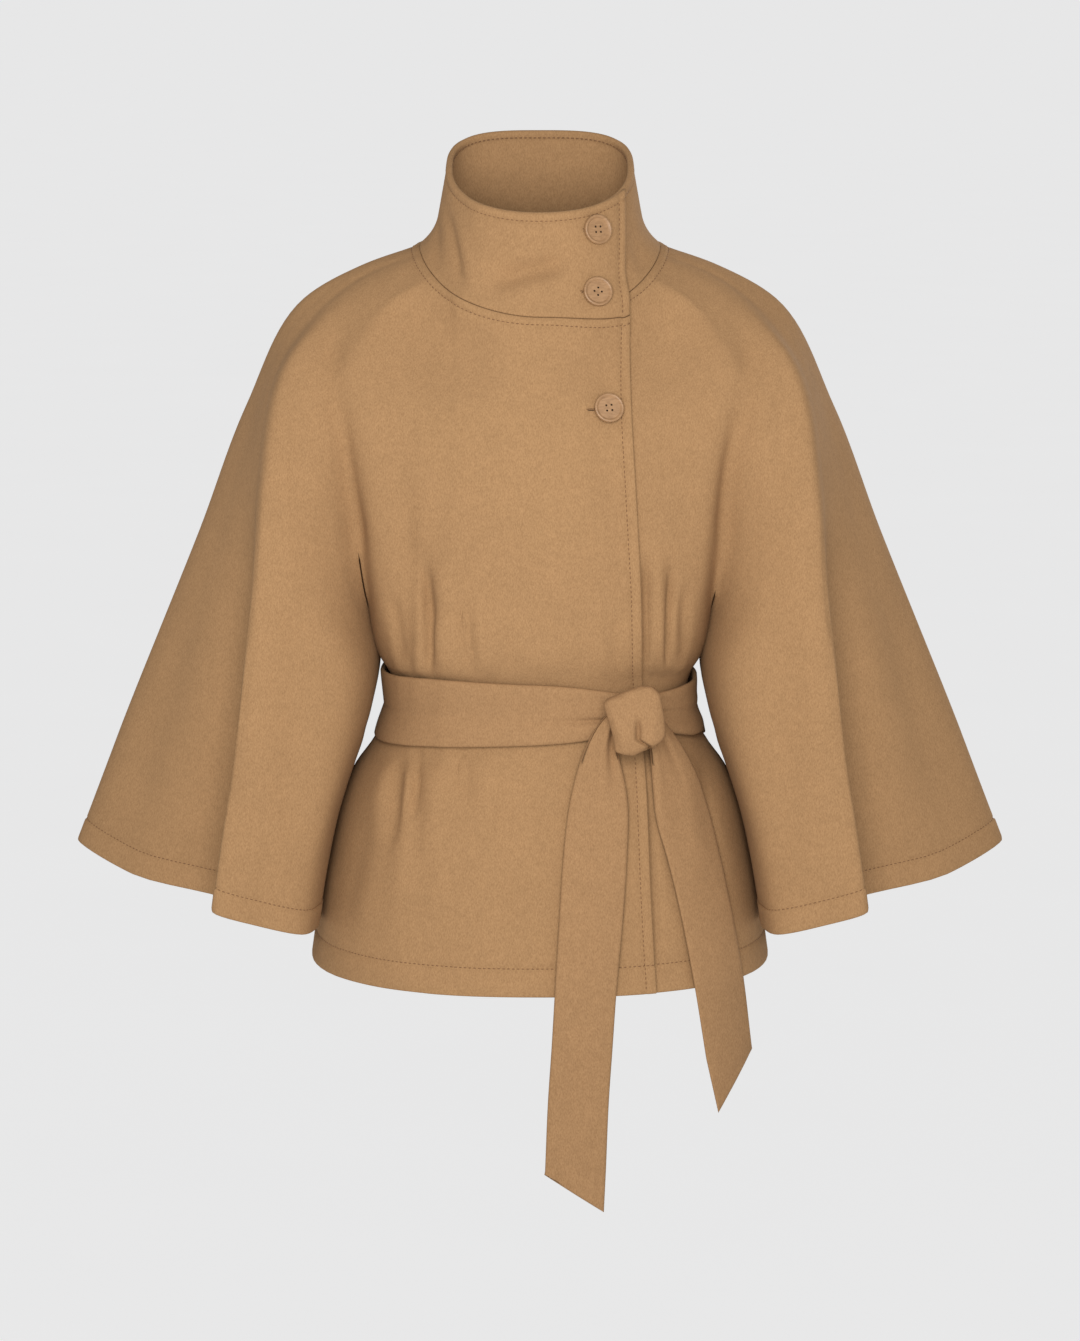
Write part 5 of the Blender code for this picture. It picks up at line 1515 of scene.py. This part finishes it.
def seam_lines(strips, row, first=0):
    """The line along one row of each strip, from the column first of the first strip."""
    starts = [first] + [0] * (len(strips) - 1)
    return [(face_of(strip)[row, start:], strip[1][row, start:])
            for strip, start in zip(strips, starts)]


# %% [markdown]
# Four lines are stitched: round the neck seam, along the hems, down the front edge, and round
# the collar, where the line is seen inside and outside. The part of a line that lies under the
# right front isn't sewn, since no one sees it.

# %% The four lines of topstitching
for name, row in (("topstitching_neck", NECK_STITCH), ("topstitching_hems", -1 - HEM_STITCH)):
    lines = (seam_lines(right_strips, row) + seam_lines(left_strips[1:], row, UNDER_COLUMN)
             + seam_lines(back_strips, row))
    stitches(name, [stitch_run(*line) for line in lines])
edge_column = EDGE_COLUMN - EDGE_STITCH
stitches("topstitching_front_edge", [stitch_run(
    face_of(right_strips[0])[1:-1, edge_column], crossing_normals[1:-1, edge_column])])
stitches("topstitching_collar", [stitch_run(*line) for line in (
    (collar_outer[stitch_row, EDGE_STITCH:-2], collar_normals[stitch_row, EDGE_STITCH:-2]),
    (collar_inner[stitch_row + 1, 2:-2], -collar_normals[stitch_row + 1, 2:-2]),
    (collar_outer[1:stitch_row + 1, EDGE_STITCH],
     collar_normals[1:stitch_row + 1, EDGE_STITCH]))])

# %% [markdown]
# ## Buttonholes
# Each hole is a slit bound with close bar stitches. It is buttoned shut, so nothing is cut
# here: the slit's shade is painted as a dark strip set in the cloth's face. The button's
# shank sits at the slit's outer end, so only its inner end shows beside the button.

# %% Buttonholes
SLIT_LONG, SLIT_REACH, BAR_STEP, BAR_LONG, BAR_THICK = 22.0, (12.0, 14.2, 18.6), 1.0, 1.7, 0.34
SLIT_HALF, SLIT_PROUD, SLIT_DEEP, BAR_OFF = 0.42, 0.22, 0.6, 0.25


def buttonhole(name, seat, reach, tree):
    """A bound slit that starts reach mm from the seat, towards the wearer's right."""
    x0, z0 = seat.x / MM - reach, seat.z / MM - (0.0 if reach < 15 else 1.5)
    count = int(SLIT_LONG / BAR_STEP)
    outward = np.array([[0.0, -1.0, 0.0]] * 2)
    bars = []
    for x in (x0 + k * BAR_STEP for k in range(count)):
        y = front_y(tree, x, z0)
        for way in (-1, 1):
            ends = [(x, y, z0 + way * off) for off in (BAR_OFF, BAR_OFF + BAR_LONG)]
            bars.append(stitch_run(np.array(ends), outward, step=BAR_LONG * 0.99,
                                   long=BAR_LONG * 0.95, thick=BAR_THICK))
    stitches(name + "_stitches", bars)
    xs = np.linspace(x0, x0 + SLIT_LONG, 23)
    line = np.array([(x, front_y(tree, x, z0), z0) for x in xs])
    half = SLIT_HALF * np.sqrt(np.clip(1 - np.linspace(-1, 1, len(xs)) ** 8, 0, 1))[:, None]
    up = np.array([[0.0, 0.0, 1.0]])
    outer = np.stack([line - up * half, line, line + up * half])
    outer[..., 1] -= SLIT_PROUD
    # painted shade: the slit is a dark strip on the cloth, not an opening
    on_the_wool(doubled_strip(name + "_slit_shade", outer, outer + (0, SLIT_DEEP, 0), HOLE_SHADE))


fronts_and_collar = tree_of(front_right, collar)
for number, ((_, seat), reach) in enumerate(zip(buttons, SLIT_REACH), start=1):
    buttonhole(f"buttonhole_{number}", seat, reach, fronts_and_collar)

# %% [markdown]
# ## Each piece in place of its solid
# Every piece rides on the one body and stands for its solid, which is hidden. The table of
# cloth also lists each piece's slot, the rectangle that it is cut from, its area, how it is
# held and what it rests on, but only the piece and its solid are used.

# %% Dressing the solids
def dress(piece, node):
    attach(piece, "root")
    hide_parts(node)


PANELS, KNOT_ONLY = ["front_right", "front_left", "back"], ["belt_knot"]
CLOTH_PIECES = [
    (front_right, "front_right", "melton", (0.84, 0.76), right_area, "draped", []),
    (front_left, "front_left", "melton", (0.80, 0.76), left_area, "draped", []),
    (back, "back", "melton", (1.30, 0.80), back_area, "draped", []),
    (collar, "collar", "melton", (0.78, 0.17), collar_area, "stretched", PANELS),
    (belt_band, "belt_band", "belt_melton", (0.98, 0.062), belt_area, "gathered", PANELS),
    (tail_right, "belt_tail_right", "belt_melton", (0.07, 0.44), tail_right_area, "hung",
     KNOT_ONLY),
    (tail_left, "belt_tail_left", "belt_melton", (0.07, 0.36), tail_left_area, "hung",
     KNOT_ONLY),
]
for piece, node, slot, flat, area, held, rests_on in CLOTH_PIECES:
    dress(piece, node)
dress(knot, "belt_knot")
for number, (piece, _) in enumerate(buttons, start=1):
    dress(piece, f"button_{number}")
print("pieces of cloth:", len(CLOTH_PIECES), "buttons:", len(buttons))

# %% [markdown]
# ## Floor and light
# The jacket is shown filled out over a pale seamless floor. One softbox stands close in front
# of it, so its light is soft and falls off towards the sleeves, and pale surroundings fill the
# shadows. A second one, farther off behind, shows the back of the cloth. The front one is in
# the camera's way, so both are hidden from the camera and only their light is seen.

# %% The floor and the surroundings
FLOOR_Z, FLOOR_R = -3.0, 2000.0
bpy.ops.mesh.primitive_circle_add(vertices=96, radius=FLOOR_R, fill_type="NGON",
                                  location=(0, 0, FLOOR_Z))
floor = bpy.context.object
bpy.ops.object.transform_apply(location=True, rotation=True, scale=True)
floor.name = floor.data.name = "studio_floor"
floor.data.materials.append(flecked(
    "painted studio floor", "#f6f6f7", "#f8f8f9", 1.5, Roughness=0.9, Specular_IOR_Level=0.0,
    Emission_Color=(1.0, 1.0, 1.0, 1.0), Emission_Strength=0.25))
floor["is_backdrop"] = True
bpy.ops.object.select_all(action="DESELECT")

surroundings = bpy.data.worlds.new("pale studio")
surroundings.use_nodes = True
sky = surroundings.node_tree.nodes["Background"]
sky.inputs["Color"].default_value = (1.0, 1.0, 0.995, 1.0)
sky.inputs["Strength"].default_value = 0.59
bpy.context.scene.world = surroundings
print("floor, m across:", round(floor.dimensions.x))


# %% The two softboxes
def softbox(name, watts, place):
    """A square lamp, 1 m wide, that faces the waist."""
    lamp = bpy.data.lights.new(name, "AREA")
    lamp.energy, lamp.shape, lamp.size = watts, "SQUARE", 1.0
    made = bpy.data.objects.new(name, lamp)
    made.location = place
    made.rotation_euler = (WAIST - Vector(place)).to_track_quat("-Z", "Y").to_euler()
    made.visible_camera = False
    bpy.context.scene.collection.objects.link(made)
    print(name, "stands", round((Vector(place) - WAIST).length, 2), "m from the waist")


WAIST = Vector((0.0, 0.0, -0.40))
softbox("front_softbox", 27.5, (-0.04, -1.65, 0.12))
softbox("back_softbox", 24.0, (1.3, 1.9, 0.5))

# %% [markdown]
# ## The camera
# It stands 3.5 m in front of the jacket and looks down on it by ten degrees. Its long lens
# keeps the sleeves from looking wider than they are.

# %% Camera
FRAME_HIGH, FOCAL_PX = 1341, 3889          # the frame's height and the focal length, pixels
DISTANCE, ELEVATION, AIM_Z = 3.5, math.radians(10.0), -0.3815
lens = bpy.data.cameras.new("product_camera")
lens.sensor_fit, lens.sensor_height = "VERTICAL", 36.0
lens.lens = lens.sensor_height * FOCAL_PX / FRAME_HIGH
lens.clip_end = 2 * FLOOR_R
camera = bpy.data.objects.new("product_camera", lens)
toward = Vector((0.0, -math.cos(ELEVATION), math.sin(ELEVATION)))
camera.location = Vector((0.0, 0.0, AIM_Z)) + toward * DISTANCE
camera.rotation_euler = (-toward).to_track_quat("-Z", "Y").to_euler()
bpy.context.scene.collection.objects.link(camera)
bpy.context.scene.camera = camera
bpy.context.scene.view_settings.view_transform = "Standard"
print("lens, mm:", round(lens.lens, 1))

# %% [markdown]
# ## The sizes
# The dressed jacket's box is measured and printed.

# %% Sizes, and the end
low, high = (list(map(float, corner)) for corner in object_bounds())
print("dressed box, mm:", [round(1000 * (b - a)) for a, b in zip(low, high)])
